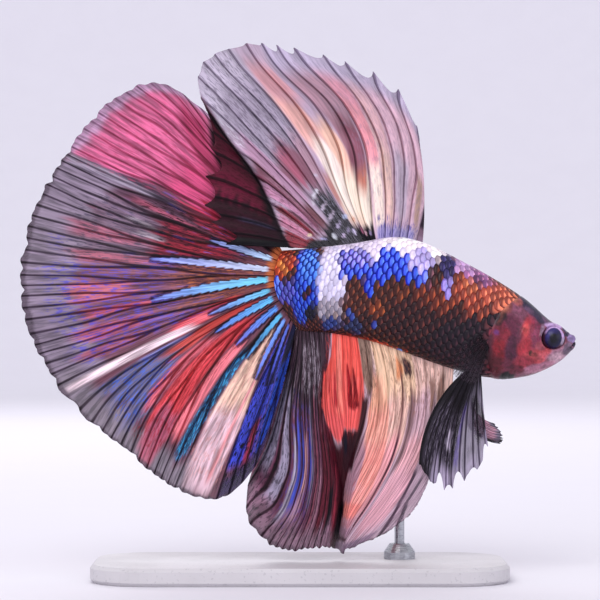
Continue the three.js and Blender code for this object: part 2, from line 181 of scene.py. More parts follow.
# Where the fins are seated, in mm on the fish, and how far they sway to the side.
TAIL_ROOT = {"top": 5.3, "foot": -4.9, "crowding": 1.25}
BACK_ROOT = {"front": 18.3, "length": 15.3}
BELLY_ROOT = {"rear": 3.1, "length": 22.7, "crowding": 1.6}
PELVIC_ROOTS = {"right": (27.5, 2.1), "left": (28.1, 1.9)}
PECTORAL_ROOT = (29, 3.6, -0.7)
TAIL_SWAY = {"upper": 2.6, "lower": 1.9, "ripple": 0.75}
BACK_SWAY = {"near": 4.4, "ripple": 0.5, "folded": 1.5}
BELLY_SWAY = {"rear": 1.5, "rear_edge": 1.3, "ripple": 0.5, "valley": 2.3}
TAIL_CENTRE = (1, 0)
BACK_CENTRE = (10.5, 9)
BELLY_CENTRE = (14, -5.5)
PELVIC_CENTRE = (28.6, -6.6)
PELVIC_LEVEL = -6.4
SMALL_FIN_WALL = 0.8
RAY_RIDGE = (0.085, 0.04)
WALL_STEPS = 24
WALL_AT_THINNEST = 0.26


# ---------------------------------------------------------------- small maths
def rise(x):
    t = np.clip(x, 0, 1)
    return t * t * (3 - 2 * t)


def between(a, b, t):
    return a + (b - a) * t


def bump_at(distance, width):
    return np.exp(-((distance / width) ** 2))


def window(x, start, fade_in, end, fade_out):
    """1 between start and end, fading in after the start and out before the end."""
    return rise((x - start) / fade_in) * rise((end - x) / fade_out)


def follow(rows, place, column=1):
    """Smooth curve through rows of (place, value, ...)."""
    table = np.array(rows, float)
    at, value = table[:, 0], table[:, column]
    last = len(at) - 1
    knot = np.arange(last + 1)
    after = np.minimum(last, knot + 1)
    before = np.maximum(0, knot - 1)
    slope = (value[after] - value[before]) / (at[after] - at[before])
    place = np.asarray(place, float)
    i = np.clip(np.searchsorted(at, place, side="left") - 1, 0, last - 1)
    span = at[i + 1] - at[i]
    t = np.clip((place - at[i]) / span, 0, 1)
    start = (2 * t**3 - 3 * t**2 + 1) * value[i] + (t**3 - 2 * t**2 + t) * slope[i] * span
    return start + (3 * t**2 - 2 * t**3) * value[i + 1] + (t**3 - t**2) * slope[i + 1] * span


def scatter(cell, seed=0):
    """A value from 0 to 1 for each whole number, the same every time."""
    wave = np.sin(np.asarray(cell, float) * 12.9898 + seed * 78.233) * 43758.5453
    return wave - np.floor(wave)


def drift(x, seed=0):
    """A smooth wandering line between -1 and 1."""
    cell = np.floor(x)
    return between(scatter(cell, seed), scatter(cell + 1, seed), rise(x - cell)) * 2 - 1


def mottle(x, z, seed=0):
    """Smooth blotches between -1 and 1 over a plane."""
    cx, cz = np.floor(x), np.floor(z)
    fx, fz = rise(x - cx), rise(z - cz)
    low = between(scatter(cx + cz * 57, seed), scatter(cx + 1 + cz * 57, seed), fx)
    high = between(scatter(cx + (cz + 1) * 57, seed), scatter(cx + 1 + (cz + 1) * 57, seed), fx)
    return between(low, high, fz) * 2 - 1


def tint(code):
    """Linear colour from a six-figure code."""
    parts = np.array([int(code[i : i + 2], 16) / 255 for i in (0, 2, 4)])
    return np.where(parts <= 0.04045, parts / 12.92, ((parts + 0.055) / 1.055) ** 2.4)


def lay_over(colour, code, mask):
    """Paints a colour over the array of colours where the mask says."""
    colour += (tint(code) - colour) * mask[:, None]


# ---------------------------------------------------------------- places on the fish
def fish_origin():
    """Where the fish's own origin stands in the frame, worked out from the eyes."""
    corners = [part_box(f"eye_{side}") for side in ("right", "left")]
    centre = sum((low + high for low, high in corners), Vector()) / 4
    along = EYE["x"] * math.cos(NOSE_DOWN) + EYE["z"] * math.sin(NOSE_DOWN)
    up = -EYE["x"] * math.sin(NOSE_DOWN) + EYE["z"] * math.cos(NOSE_DOWN)
    return centre.x - along * MM, centre.z - up * MM


ORIGIN_X, ORIGIN_Z = fish_origin()


def in_frame(x, y, z):
    """Points on the fish, in mm, as places in the frame, in metres."""
    along = x * math.cos(NOSE_DOWN) + z * math.sin(NOSE_DOWN)
    up = -x * math.sin(NOSE_DOWN) + z * math.cos(NOSE_DOWN)
    return np.stack([ORIGIN_X + along * MM, y * MM, ORIGIN_Z + up * MM], axis=-1)


def tail_edge(z):
    return TAIL_BOW["x"] + TAIL_BOW["sweep"] * (z - TAIL_BOW["level"]) ** 2


def body_point(along, around):
    top = follow(BACK, along)
    bottom = follow(BELLY, along)
    half = follow(HALF_WIDTH, along)
    middle = between(bottom, top, WIDEST_LEVEL)
    ends = np.clip((along - NOSE_ROUNDING) / (1 - NOSE_ROUNDING), 0, 1)
    narrowing = np.sqrt(np.clip(1 - ends**2, 0, 1))
    sine = np.sin(around)
    z = middle + narrowing * sine * np.where(sine > 0, top - middle, middle - bottom)
    bend = np.maximum(0, 1 - along / TAIL_BEND_END) ** 2
    x = STANDARD_LENGTH * along + tail_edge(z) * bend
    return x, half * narrowing * np.cos(around), z


def body_normal(along, around):
    step = 1e-3
    a = np.stack(body_point(along, around + step), -1) - np.stack(body_point(along, around - step), -1)
    forward = np.stack(body_point(np.clip(along + step, 0, 0.9995), around), -1)
    back = np.stack(body_point(np.clip(along - step, 0, 0.998), around), -1)
    normal = np.cross(a, forward - back)
    normal /= np.maximum(np.linalg.norm(normal, axis=-1, keepdims=True), 1e-9)
    outward = np.stack([np.zeros_like(along), np.cos(around), np.sin(around)], -1)
    return normal * np.sign((normal * outward).sum(-1, keepdims=True) + 1e-9)


# ---------------------------------------------------------------- meshes
def made(bm, name):
    """Turns a bmesh into a mesh and frees it."""
    mesh = bpy.data.meshes.new(name)
    bm.to_mesh(mesh)
    bm.free()
    return mesh


def points_of(mesh):
    flat = np.zeros(len(mesh.vertices) * 3)
    mesh.vertices.foreach_get("co", flat)
    return flat.reshape(-1, 3)


def put_points(mesh, x, y, z):
    """Moves a mesh's points to places on the fish."""
    mesh.vertices.foreach_set("co", in_frame(x, y, z).ravel())


def placed_grid(name, columns, rows, place):
    """A grid whose points are moved to place(u, v)."""
    bm = bmesh.new()
    bmesh.ops.create_grid(bm, x_segments=columns, y_segments=rows, size=0.5)
    mesh = made(bm, name)
    flat = points_of(mesh)
    u = flat[:, 0] + 0.5
    put_points(mesh, *place(u, flat[:, 1] + 0.5))
    return mesh, u


def keep_map(mesh, name, pairs):
    """A UV map from one pair of numbers for each point."""
    corner = np.zeros(len(mesh.loops), int)
    mesh.loops.foreach_get("vertex_index", corner)
    mesh.uv_layers.new(name=name).uv.foreach_set("vector", np.stack(pairs, -1)[corner].ravel())


def keep_colour(mesh, name, colour, amount=None):
    rgba = np.ones((len(colour), 4))
    rgba[:, :3] = colour
    if amount is not None:
        rgba[:, 3] = amount
    mesh.attributes.new(name, "FLOAT_COLOR", "POINT").data.foreach_set("color", rgba.ravel())


def keep_value(mesh, name, value):
    mesh.attributes.new(name, "FLOAT", "POINT").data.foreach_set("value", np.asarray(value, float).ravel())


def shown(mesh, material, slot, *replaced):
    """Links a finished mesh as a piece of the fish."""
    mesh.polygons.foreach_set("use_smooth", [True] * len(mesh.polygons))
    mesh.materials.append(material)
    piece = bpy.data.objects.new(mesh.name, mesh)
    bpy.context.scene.collection.objects.link(piece)
    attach(piece, "root")
    if replaced:
        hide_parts(*replaced)
    return piece


def faced_outward(mesh, weld=0.0):
    """Turns every face outward, after merging the seam and the ends where there are any."""
    bm = bmesh.new()
    bm.from_mesh(mesh)
    if weld:
        bmesh.ops.remove_doubles(bm, verts=bm.verts, dist=weld)
        bmesh.ops.dissolve_degenerate(bm, dist=NO_LENGTH, edges=bm.edges)
    bmesh.ops.recalc_face_normals(bm, faces=bm.faces)
    bm.to_mesh(mesh)
    bm.free()


# ---------------------------------------------------------------- materials
# Where a noise is read from dark to light, and the tones that the finishes share.
NOISE_RANGE = (0.3, 0.7)
RAY_SHADE = (0.004, 0.001, 0.004, 1)
SCALE_SHADE = (0.004, 0.003, 0.012, 1)
BLUE_GLINT = (0.2, 0.5, 1.0, 1)
WARM_GLOW = (2.1, 1.6, 1.2, 1)
CAST_SPECK = (0.3, 0.29, 0.32, 1)
METAL_TONES = ((0.34, 0.35, 0.38, 1), (0.5, 0.51, 0.54, 1))
BRUSHED = (900, 900, 9000)


class Finish:
    """A node material, built from the shader outwards."""

    def __init__(self, name, roughness=0.4):
        self.material = bpy.data.materials.new(name)
        self.material.use_nodes = True
        self.nodes = self.material.node_tree.nodes
        self.links = self.material.node_tree.links
        self.shader = self.nodes["Principled BSDF"]
        self.shader.inputs["Roughness"].default_value = roughness

    def add(self, kind, **settings):
        node = self.nodes.new(kind)
        for key, value in settings.items():
            if key[0].isupper():
                node.inputs[key.replace("_", " ")].default_value = value
            else:
                setattr(node, key, value)
        return node

    def join(self, source, target):
        self.links.new(source, target)

    def feed(self, socket, value):
        self.join(value, self.shader.inputs[socket])

    def attribute(self, name):
        return self.add("ShaderNodeAttribute", attribute_name=name)

    def maths(self, operation, first, second=None, clamp=False):
        node = self.add("ShaderNodeMath", operation=operation, use_clamp=clamp)
        for socket, value in zip(node.inputs, (first, second)):
            if isinstance(value, (int, float)):
                socket.default_value = value
            elif value is not None:
                self.join(value, socket)
        return node.outputs[0]

    def times(self, first, second):
        return self.maths("MULTIPLY", first, second)

    def plus(self, first, second):
        return self.maths("ADD", first, second)

    def size_of(self, value):
        return self.maths("ABSOLUTE", value)

    def on_rays(self, lane, out, across, along):
        """Coordinates that run across the rays and along them."""
        spread = self.add("ShaderNodeCombineXYZ")
        self.join(self.times(lane, across), spread.inputs[0])
        self.join(self.times(out, along), spread.inputs[1])
        return spread.outputs[0]

    def on_object(self, scale=(1, 1, 1)):
        source = self.add("ShaderNodeTexCoord")
        mapping = self.add("ShaderNodeMapping", Scale=scale)
        self.join(source.outputs["Object"], mapping.inputs["Vector"])
        return mapping.outputs["Vector"]

    def noise(self, vector, scale, detail=3.0):
        node = self.add("ShaderNodeTexNoise", Scale=scale, Detail=detail)
        self.join(vector, node.inputs["Vector"])
        return node.outputs["Fac"]

    def step(self, value, start, end, low=0.0, high=1.0):
        node = self.add("ShaderNodeMapRange", interpolation_type="SMOOTHSTEP")
        for key, number in (("From Min", start), ("From Max", end), ("To Min", low), ("To Max", high)):
            node.inputs[key].default_value = number
        self.join(value, node.inputs["Value"])
        return node.outputs["Result"]

    def mix(self, amount, first, second, mode="MIX"):
        node = self.add("ShaderNodeMix", data_type="RGBA", blend_type=mode)
        for socket, value in ((node.inputs[0], amount), (node.inputs[6], first), (node.inputs[7], second)):
            if hasattr(value, "is_linked"):
                self.join(value, socket)
            else:
                socket.default_value = value
        return node.outputs[2]

    def shaded(self, colour, amount):
        """The colour made darker or lighter by a number."""
        grey = self.add("ShaderNodeCombineColor")
        for socket in grey.inputs[:3]:
            self.join(amount, socket)
        return self.mix(1.0, colour, grey.outputs[0], "MULTIPLY")

    def ray_lines(self, lane, out, fork, line):
        """1 on the rays and 0 between them, from the ray number and the distance out."""
        cell = self.maths("SUBTRACT", self.maths("FRACT", self.plus(lane, 0.5)), 0.5)
        for start, reach in zip(FORK_STARTS, fork):
            split = self.step(out, start, start + FORK_LENGTH, 0.0, reach)
            cell = self.maths("SUBTRACT", self.size_of(cell), split)
        width = self.step(out, 0.0, 1.0, *line)
        return self.step(self.maths("DIVIDE", self.size_of(cell), width), 0.4, 1.4, 1.0, 0.0)

    def relief(self, height, strength, distance):
        node = self.add("ShaderNodeBump", Strength=strength, Distance=distance)
        self.join(height, node.inputs["Height"])
        self.feed("Normal", node.outputs["Normal"])

    def colour(self, value, shade=None):
        self.feed("Base Color", value if shade is None else self.shaded(value, shade))

    def gloss(self, pattern, smooth, rough):
        """Roughness that follows a pattern."""
        self.feed("Roughness", self.step(pattern, *NOISE_RANGE, smooth, rough))

    def set(self, **sockets):
        for key, value in sockets.items():
            self.shader.inputs[key.replace("_", " ")].default_value = value


def fin_finish(name, fork, grain, dash, pleat_shade, line, depth, silk):
    """Rayed membrane: painted marks, dark forking rays, streaks that run with them, painted shade across each
    pleat, a fine ribbed relief.
    """
    f = Finish(name, 0.45)
    mark, fleck = f.attribute("mark"), f.attribute("fleck")
    lane, out, veil, lined = (f.attribute(key).outputs["Fac"] for key in ("lane", "out", "veil", "line"))
    ray = f.times(f.ray_lines(lane, out, fork, line), lined)
    fine = f.noise(f.on_rays(lane, out, *grain), 1.0, 4.0)
    broad = f.noise(f.on_rays(lane, out, grain[0] * 0.3, grain[1] * 0.5), 1.0)
    speck = f.noise(f.on_rays(lane, out, *dash), 1.0, 2.0)
    dashes = f.times(f.step(speck, 0.5, 0.6), fleck.outputs["Alpha"])
    painted = f.mix(dashes, mark.outputs["Color"], fleck.outputs["Color"])
    deep = f.mix(0.62, f.mix(1.0, painted, painted, "MULTIPLY"), RAY_SHADE)
    streaked = f.mix(f.times(ray, depth), painted, deep)
    # Painted shade of the pleats: each membrane is darker just past a ray and lighter towards the next.
    slope = f.step(f.maths("FRACT", lane), 0.0, 1.0, 1 - pleat_shade, 1 + pleat_shade * 0.4)
    shade = f.times(slope, f.step(broad, *NOISE_RANGE, 0.88, 1.08))
    shade = f.times(shade, f.step(fine, 0.34, 0.62, 1 - silk, 1 + silk * 0.5))
    f.colour(streaked, shade)
    f.relief(f.plus(f.times(ray, 0.7), f.times(fine, 0.5)), 0.3, 0.0001)
    f.gloss(fine, 0.38, 0.56)
    f.set(Coat_Weight=0.02, Coat_Roughness=0.25, Specular_IOR_Level=0.12)
    f.feed("Alpha", f.maths("ADD", veil, f.times(ray, 0.3), clamp=True))
    return f.material


def skin_finish():
    """Wet skin under and around the scales, mottled fine and coarse."""
    f = Finish("wet_skin", 0.3)
    mark, fleck = f.attribute("mark"), f.attribute("fleck")
    place = f.on_object()
    blotch = f.noise(place, 1100.0, 4.0)
    spots = f.times(f.step(blotch, 0.5, 0.64), fleck.outputs["Alpha"])
    painted = f.mix(spots, mark.outputs["Color"], fleck.outputs["Color"])
    coarse = f.step(f.noise(place, 420.0), *NOISE_RANGE, 0.84, 1.12)
    fine = f.step(f.noise(place, 3400.0), *NOISE_RANGE, 0.86, 1.12)
    f.colour(painted, f.times(coarse, fine))
    f.relief(f.plus(f.noise(place, 2600.0), blotch), 0.3, 0.00008)
    f.gloss(blotch, 0.24, 0.42)
    f.set(Coat_Weight=0.1, Coat_Roughness=0.16, Specular_IOR_Level=0.25)
    f.set(Subsurface_Weight=0.05, Subsurface_Scale=0.0006, Subsurface_Radius=(1.0, 0.4, 0.3))
    return f.material


def scale_finish():
    """Overlapping scales: bright heart from a painted highlight, dark edge, growth rings, a little metal in
    the blue ones.
    """
    f = Finish("scale_shine", 0.34)
    mark = f.attribute("mark").outputs["Color"]
    kind = f.add("ShaderNodeSeparateColor")
    f.join(f.attribute("kind").outputs["Color"], kind.inputs[0])
    blue, pale, warm = kind.outputs[:3]
    own = f.add("ShaderNodeUVMap", uv_map="plate")
    split = f.add("ShaderNodeSeparateXYZ")
    f.join(own.outputs["UV"], split.inputs[0])
    a, b = split.outputs["X"], split.outputs["Y"]
    # How near the free edge: 1 at the edge, falling inward.
    tip = f.plus(a, f.times(f.times(b, b), 0.3))
    thin = f.step(tip, 0.7, 0.93)
    flank = f.step(f.size_of(b), 0.62, 0.84)
    wide = f.step(tip, 0.14, 0.5)
    edge = f.maths("MAXIMUM", thin, flank)
    edge = f.maths("MAXIMUM", edge, f.times(blue, f.step(tip, 0.5, 0.78)))
    amount = f.maths("MAXIMUM", edge, f.times(wide, f.times(warm, 0.9)))
    amount = f.times(amount, f.maths("SUBTRACT", 1.0, f.times(pale, 0.75)))
    grain = f.noise(f.on_object(), 1500.0, 4.0)
    deep = f.mix(0.45, f.mix(1.0, mark, mark, "MULTIPLY"), SCALE_SHADE)
    lined = f.mix(f.times(amount, 0.9), mark, deep)
    heart = f.times(f.step(tip, 0.45, 0.0), f.step(f.size_of(b), 0.7, 0.2))
    # Painted highlight: a blue glint on the heart of each blue scale and a warm glow on the heart of each
    # warm one.
    lit = f.mix(f.times(f.times(blue, heart), 0.35), lined, BLUE_GLINT)
    glow = f.mix(1.0, mark, WARM_GLOW, "MULTIPLY")
    lit = f.mix(f.times(f.times(warm, heart), 0.7), lit, glow)
    f.colour(lit, f.step(grain, 0.25, 0.75, 0.84, 1.14))
    ring = f.maths("SINE", f.times(tip, 34.0))
    fan = f.maths("SINE", f.times(b, 26.0))
    f.relief(f.plus(f.times(f.plus(ring, fan), 0.25), grain), 0.12, 0.00004)
    f.feed("Metallic", f.times(blue, 0.35))
    f.gloss(grain, 0.3, 0.46)
    f.set(Coat_Weight=0.05, Coat_Roughness=0.2, Specular_IOR_Level=0.22)
    return f.material


def eye_finish(name):
    """Blue-black pupil and iris inside a lavender ring, under a wet clear coat."""
    f = Finish(name, 0.12)
    place = f.on_object()
    silk = f.step(f.noise(place, 3800.0, 4.0), *NOISE_RANGE, 0.8, 1.2)
    f.colour(f.attribute("mark").outputs["Color"], silk)
    f.relief(f.noise(place, 1200.0, 2.0), 0.04, 0.00004)
    f.gloss(f.noise(place, 2400.0, 2.0), 0.34, 0.44)
    f.set(Coat_Weight=0.14, Coat_Roughness=0.12, Specular_IOR_Level=0.25)
    return f.material


# ---------------------------------------------------------------- markings of the body
# Colour, middle (x, z), half sizes, turn in degrees, softness and raggedness, in mm on the fish.
BODY_PATCHES = [
    ("5E3028", (18, 0), (26, 14), 0, 0.2, 0),
    ("6C3A2C", (12.5, 0.6), (4.5, 3.4), -4, 0.5, 0.5),
    ("A65A34", (14.1, -1.3), (1, 2.5), -14, 0.6, 0.5),
    ("94502F", (16.6, 1.6), (1, 1.6), -14, 0.6, 0.5),
    ("522A28", (20.5, -0.6), (5, 3.4), -6, 0.5, 0.5),
    ("8E4630", (22.5, 2.4), (3.5, 1.6), -16, 0.6, 0.5),
    ("4C2628", (25.5, -1.6), (4.6, 3.2), -10, 0.5, 0.5),
    ("4E2A2A", (19, -3.7), (9, 2.2), -8, 0.5, 0.6),
    ("5E3428", (14, -4.2), (4, 1.4), -6, 0.5, 0.4),
    ("A8683F", (17.5, -6.4), (8, 0.6), -8, 0.5, 0.3),
    ("33202C", (27.6, -3.6), (5.2, 4.4), 0, 0.4, 0.3),
    ("38222C", (24.5, -4.6), (3.4, 1.8), -8, 0.5, 0.4),
    ("E6D8F0", (14, 9.2), (10.5, 2.6), 12, 0.35, 0.55),
    ("F8ECF4", (18, 9.3), (4.5, 2), 0, 0.4, 0.3),
    ("DAD2EE", (6.9, 2.4), (2.3, 4.6), 6, 0.25, 0.45),
    ("A8A0B0", (7.7, -1.8), (1.7, 2), 0, 0.4, 0.5),
    ("9A8A8C", (8.6, -2.6), (1, 1), 0, 0.4, 0.4),
    ("5450C0", (9.3, 6), (1.9, 1.5), -20, 0.3, 0.5),
    ("4058DC", (10.6, 4.7), (2.7, 1.5), -6, 0.3, 0.6),
    ("8C80DC", (10.4, 6.4), (2, 1.1), 0, 0.4, 0.6),
    ("3450DA", (12.4, 3), (0.8, 1.9), 0, 0.3, 0.4),
    ("3C5CEC", (15, 6.4), (2.2, 2.3), 0, 0.25, 0.6),
    ("3852DC", (13.4, 4.6), (1.6, 1.3), 0, 0.3, 0.6),
    ("C2B2EE", (18.9, 7.4), (1.8, 1.7), 0, 0.3, 0.6),
    ("3E5CE4", (18.9, 5), (1.9, 1), -10, 0.3, 0.5),
    ("7A86EE", (19.8, 4.6), (0.7, 1), 0, 0.3, 0.3),
    ("B45E48", (28.3, 3.9), (4.6, 3), -22, 0.3, 0.45),
    ("D27A62", (30.6, 4.3), (2.4, 1.7), -24, 0.4, 0.4),
    ("D4825E", (26.2, 5.2), (1.6, 0.9), -20, 0.4, 0.5),
    ("B57CB0", (26.4, 7), (3.2, 1), -22, 0.4, 0.7),
    ("C9A2D2", (24.6, 7.8), (1.6, 0.8), -20, 0.4, 0.6),
    ("463B78", (22.6, 7.4), (1.3, 1.3), 0, 0.35, 0.5),
    ("5A3450", (27, 5.85), (0.6, 0.4), -20, 0.4, 0.3),
    ("A08CD8", (23.3, 4.4), (0.6, 1.8), 0, 0.3, 0.3),
    ("2C4CC8", (3.6, 1.2), (1.8, 5.2), 4, 0.2, 0.35),
    ("4678DC", (3.8, 4), (1.5, 2.4), 4, 0.5, 0.3),
    ("3A4890", (8, -3.5), (1.5, 0.9), 0, 0.4, 0.6),
    ("1A1730", (4.8, -2.4), (0.9, 1.1), 0, 0.5, 0.5),
    ("4A1C2A", (3.9, 0.2), (0.7, 0.6), 0, 0.5, 0.4),
    ("38406C", (11.4, -3.4), (1.6, 0.8), -6, 0.5, 0.7),
    ("3C50B4", (14.6, -2.6), (0.55, 0.55), 0, 0.4, 0.2),
    ("3A4CA0", (10.6, -1.7), (0.5, 0.5), 0, 0.4, 0.2),
    ("D8522E", (15.5, -5.4), (4, 0.6), -8, 0.5, 0.4),
    ("6E9CF0", (18.2, -5.9), (0.8, 0.5), -8, 0.4, 0.2),
    ("C8552E", (-0.1, 4), (1.8, 2.2), 0, 0.4, 0.3),
    ("E89A50", (0, 3.2), (0.7, 1), 0, 0.5, 0.3),
    ("5C58C0", (0.6, -0.3), (1.9, 1.5), 0, 0.4, 0.5),
    ("5F82F0", (-0.6, -0.3), (0.8, 1.6), 0, 0.4, 0.4),
    ("33202C", (29.7, 1.3), (0.8, 1.7), -8, 0.4, 0.5),
]
HEAD_PATCHES = [
    ("823A52", (36, -1), (7.5, 7.5), 0, 0.15, 0.1),
    ("7E4258", (32.4, 3), (2.4, 1.7), -25, 0.6, 0.6),
    ("8C5068", (33.2, 3.2), (1.2, 0.9), -25, 0.6, 0.7),
    ("70304A", (32.6, 0.6), (1.2, 1.9), 8, 0.6, 0.6),
    ("8A2C40", (31, -1.6), (1.6, 2.6), 10, 0.6, 0.5),
    ("943040", (32, -0.9), (0.8, 1.4), 10, 0.6, 0.6),
    ("7C3E80", (30.5, -0.5), (0.5, 0.4), 0, 0.6, 0.6),
    ("8E222E", (31.3, -3.2), (1, 1.8), 10, 0.6, 0.5),
    ("64202C", (31.4, -5), (1.6, 1.2), 5, 0.6, 0.4),
    ("5C1824", (30.2, -4.4), (0.8, 1.8), 5, 0.6, 0.4),
    ("5A2840", (33, -2.6), (0.9, 2.2), 6, 0.7, 0.6),
    ("6A2C40", (33.8, -4.6), (1.5, 0.9), 0, 0.6, 0.5),
    ("B83A4A", (34.7, 0.2), (0.85, 1.95), 4, 0.7, 0.6),
    ("DE4E52", (34.5, 0.7), (0.4, 1.2), 4, 0.7, 0.5),
    ("98304A", (35.4, 1), (0.35, 1.2), 0, 0.7, 0.5),
    ("BC3A48", (34.8, -2.2), (1.1, 1.5), 10, 0.6, 0.5),
    ("C65058", (37.2, -2.9), (2.5, 1.5), 24, 0.6, 0.5),
    ("D4606A", (37.8, -2.6), (1.1, 0.7), 24, 0.6, 0.5),
    ("A83C4C", (35.3, -3.9), (1.5, 0.9), 10, 0.6, 0.5),
    ("8E3858", (36.3, 0.4), (0.8, 1.4), 0, 0.6, 0.5),
    ("A8505E", (36.9, -1.2), (0.7, 0.6), 0, 0.6, 0.6),
    ("40304C", (35.3, 3.7), (3.5, 1), -37, 0.4, 0.5),
    ("32284A", (34.2, 4.6), (2.2, 0.8), -33, 0.4, 0.5),
    ("6A4A68", (34.6, 3.4), (0.8, 0.4), -33, 0.6, 0.6),
    ("AC5A5C", (32.8, 4.3), (0.8, 0.6), -30, 0.6, 0.6),
    ("C87A64", (31.7, 4.9), (0.9, 0.7), -25, 0.6, 0.5),
    ("8E4A4C", (31.2, 3.2), (0.8, 1.1), -25, 0.6, 0.6),
    ("7A5478", (37.4, 2.3), (0.9, 0.3), -38, 0.6, 0.4),
    ("B8849C", (40, -1.9), (1.9, 1.3), 38, 0.6, 0.4),
    ("D0A6B6", (39.5, -2.4), (1.2, 0.7), 34, 0.6, 0.4),
    ("B87890", (37.2, -4.3), (2.6, 0.6), 26, 0.6, 0.4),
    ("A088BC", (41.2, 0.75), (0.85, 0.75), 0, 0.5, 0.3),
    ("80667E", (40.8, -0.9), (0.6, 0.9), -10, 0.6, 0.4),
    ("665068", (41.3, -0.9), (0.4, 0.45), 45, 0.6, 0.3),
    ("3A2C48", (41.9, -0.2), (0.4, 0.4), 0, 0.5, 0.2),
    ("2A2140", (40.3, 0.95), (0.35, 0.26), 0, 0.5, 0.3),
    ("4A3C62", (40.2, 1.4), (0.7, 0.26), -34, 0.5, 0.4),
    ("54342E", (35.8, -2.5), (0.3, 0.44), 0, 0.5, 0.4),
    ("9A4446", (36.3, -2.6), (0.5, 0.35), 0, 0.6, 0.3),
    ("0B080F", (33.2, -6.35), (1.05, 0.8), 14, 0.3, 0.3),
    ("7A2C40", (34.4, -5.2), (1, 0.5), 16, 0.6, 0.5),
    ("2A1C28", (30.8, 1.9), (0.6, 1.5), -10, 0.6, 0.6),
    ("CBA8DA", (38.3, 1.85), (1.35, 0.5), 2, 0.45, 0.15),
    ("8E7088", (36.8, 0.9), (0.3, 0.9), 0, 0.6, 0.3),
]
FACE_BASE = "8A3C54"
SCALE_BASE = "5E3028"


def patch_mask(x, z, row, seed):
    _, middle, half, turn, soft, rag = row
    c, s = math.cos(math.radians(turn)), math.sin(math.radians(turn))
    dx, dz = x - middle[0], z - middle[1]
    a, b = (dx * c + dz * s) / half[0], (dz * c - dx * s) / half[1]
    edge = np.hypot(a, b) + rag * 0.5 * mottle(x * 1.1 + seed, z * 1.1, seed)
    return rise((1 - edge) / max(soft, 0.02) + 0.5)


def body_colour(x, y, z):
    """Marks of the skin and of the scales alike, at points on the fish."""
    colour = np.zeros((len(x), 3)) + tint(SCALE_BASE)
    side_shift = np.where(y > 0, 0.6, 0.0) * mottle(x * 0.5, z * 0.5, 3)
    for seed, row in enumerate(BODY_PATCHES):
        lay_over(colour, row[0], patch_mask(x + side_shift, z + side_shift, row, seed))
    face = rise((x - gill_line(z) + 0.6 * mottle(x * 0.9, z * 0.9, 12)) / 1.8 + 0.5)
    marks = np.zeros_like(colour) + tint(FACE_BASE)
    for seed, row in enumerate(HEAD_PATCHES):
        lay_over(marks, row[0], patch_mask(x + side_shift * 0.5, z, row, seed + HEAD_SEED))
    marks *= (0.74 + 0.2 * mottle(x * 2.2, z * 2.6, 21) + 0.16 * mottle(x * 6.5, z * 6.5, 22))[:, None]
    brow = rise((z - nape_line(x)) / 0.8)
    return colour + (marks - colour) * (face * (1 - brow))[:, None]


def nape_line(x):
    """Above this height the scales run on over the nape."""
    return 3.4 + 0.42 * (x - 29.5) + 8 * rise((x - 32.2) / 1.4)


def gill_line(z):
    reach = np.sqrt(np.maximum(GILL_ARC["radius"] ** 2 - (z - GILL_ARC["z"]) ** 2, 9.0))
    return GILL_ARC["x"] - reach


def head_relief(x, z):
    """Gill cover, cheek groove, eye rim, mouth and nostril: height over the plain skin, in mm."""
    behind = np.hypot(x - GILL_ARC["x"], z - GILL_ARC["z"]) - GILL_ARC["radius"]
    on_side = rise((1.2 - z) / 1.8) * rise((z + 7.4) / 1.0)
    flap = FOLDS["gill flap"] * rise((0.2 - behind) / 0.6) * (1 - 0.85 * rise((-behind - 0.6) / 3.4))
    groove = -FOLDS["gill groove"] * bump_at(np.maximum(behind, 0) - 0.2, 0.3)
    cheek = np.hypot(x - CHEEK_ARC["x"], z - CHEEK_ARC["z"]) - CHEEK_ARC["radius"]
    ridge = FOLDS["cheek ridge"] * bump_at(cheek + 0.42, 0.3)
    cheek_fold = -FOLDS["cheek groove"] * bump_at(cheek, 0.16) + ridge
    cheek_fold = cheek_fold * rise((2.2 - z) / 1) * rise((z + 5.4) / 0.8) * (x < 38)
    eye = np.hypot(x - EYE["x"], z - EYE["z"])
    socket = FOLDS["socket"] * (1 - rise((eye - EYE_SOCKET) / 0.34))
    rim = FOLDS["eye rim"] * bump_at(eye - EYE_RIM, 0.24) - socket
    run = np.array(MOUTH_CORNER) - np.array(MOUTH_FRONT)
    length = np.hypot(*run)
    along = ((x - MOUTH_FRONT[0]) * run[0] + (z - MOUTH_FRONT[1]) * run[1]) / length**2
    off = ((x - MOUTH_FRONT[0]) * run[1] - (z - MOUTH_FRONT[1]) * run[0]) / length
    within = rise((0.9 - along) / 0.3) * (along > -1.5)
    edges = FOLDS["mouth edge"] * bump_at(np.abs(off) - 0.34, 0.2)
    mouth = within * (-FOLDS["mouth slit"] * bump_at(off, 0.08) + edges)
    lip = FOLDS["lip"] * bump_at(x - LIP[0], 0.42) * bump_at(z - LIP[1], 0.55)
    mouth = mouth + lip - FOLDS["dimple"] * bump_at(np.hypot(x - MOUTH_DIMPLE[0], z - MOUTH_DIMPLE[1]), 0.3)
    nostril = np.hypot(x - NOSTRIL[0], z - NOSTRIL[1])
    nose = FOLDS["nostril rim"] * bump_at(nostril - 0.2, 0.08) - FOLDS["nostril"] * bump_at(nostril, 0.12)
    ripple = bump_at(np.sin((x - THROAT_FOLDS[0]) * 3.2), 0.35)
    throat = -FOLDS["throat"] * ripple * rise((-z - 5.0) / 0.8) * rise((THROAT_FOLDS[1] - x) / 1)
    return (flap + groove) * on_side + cheek_fold + rim + mouth + nose + throat


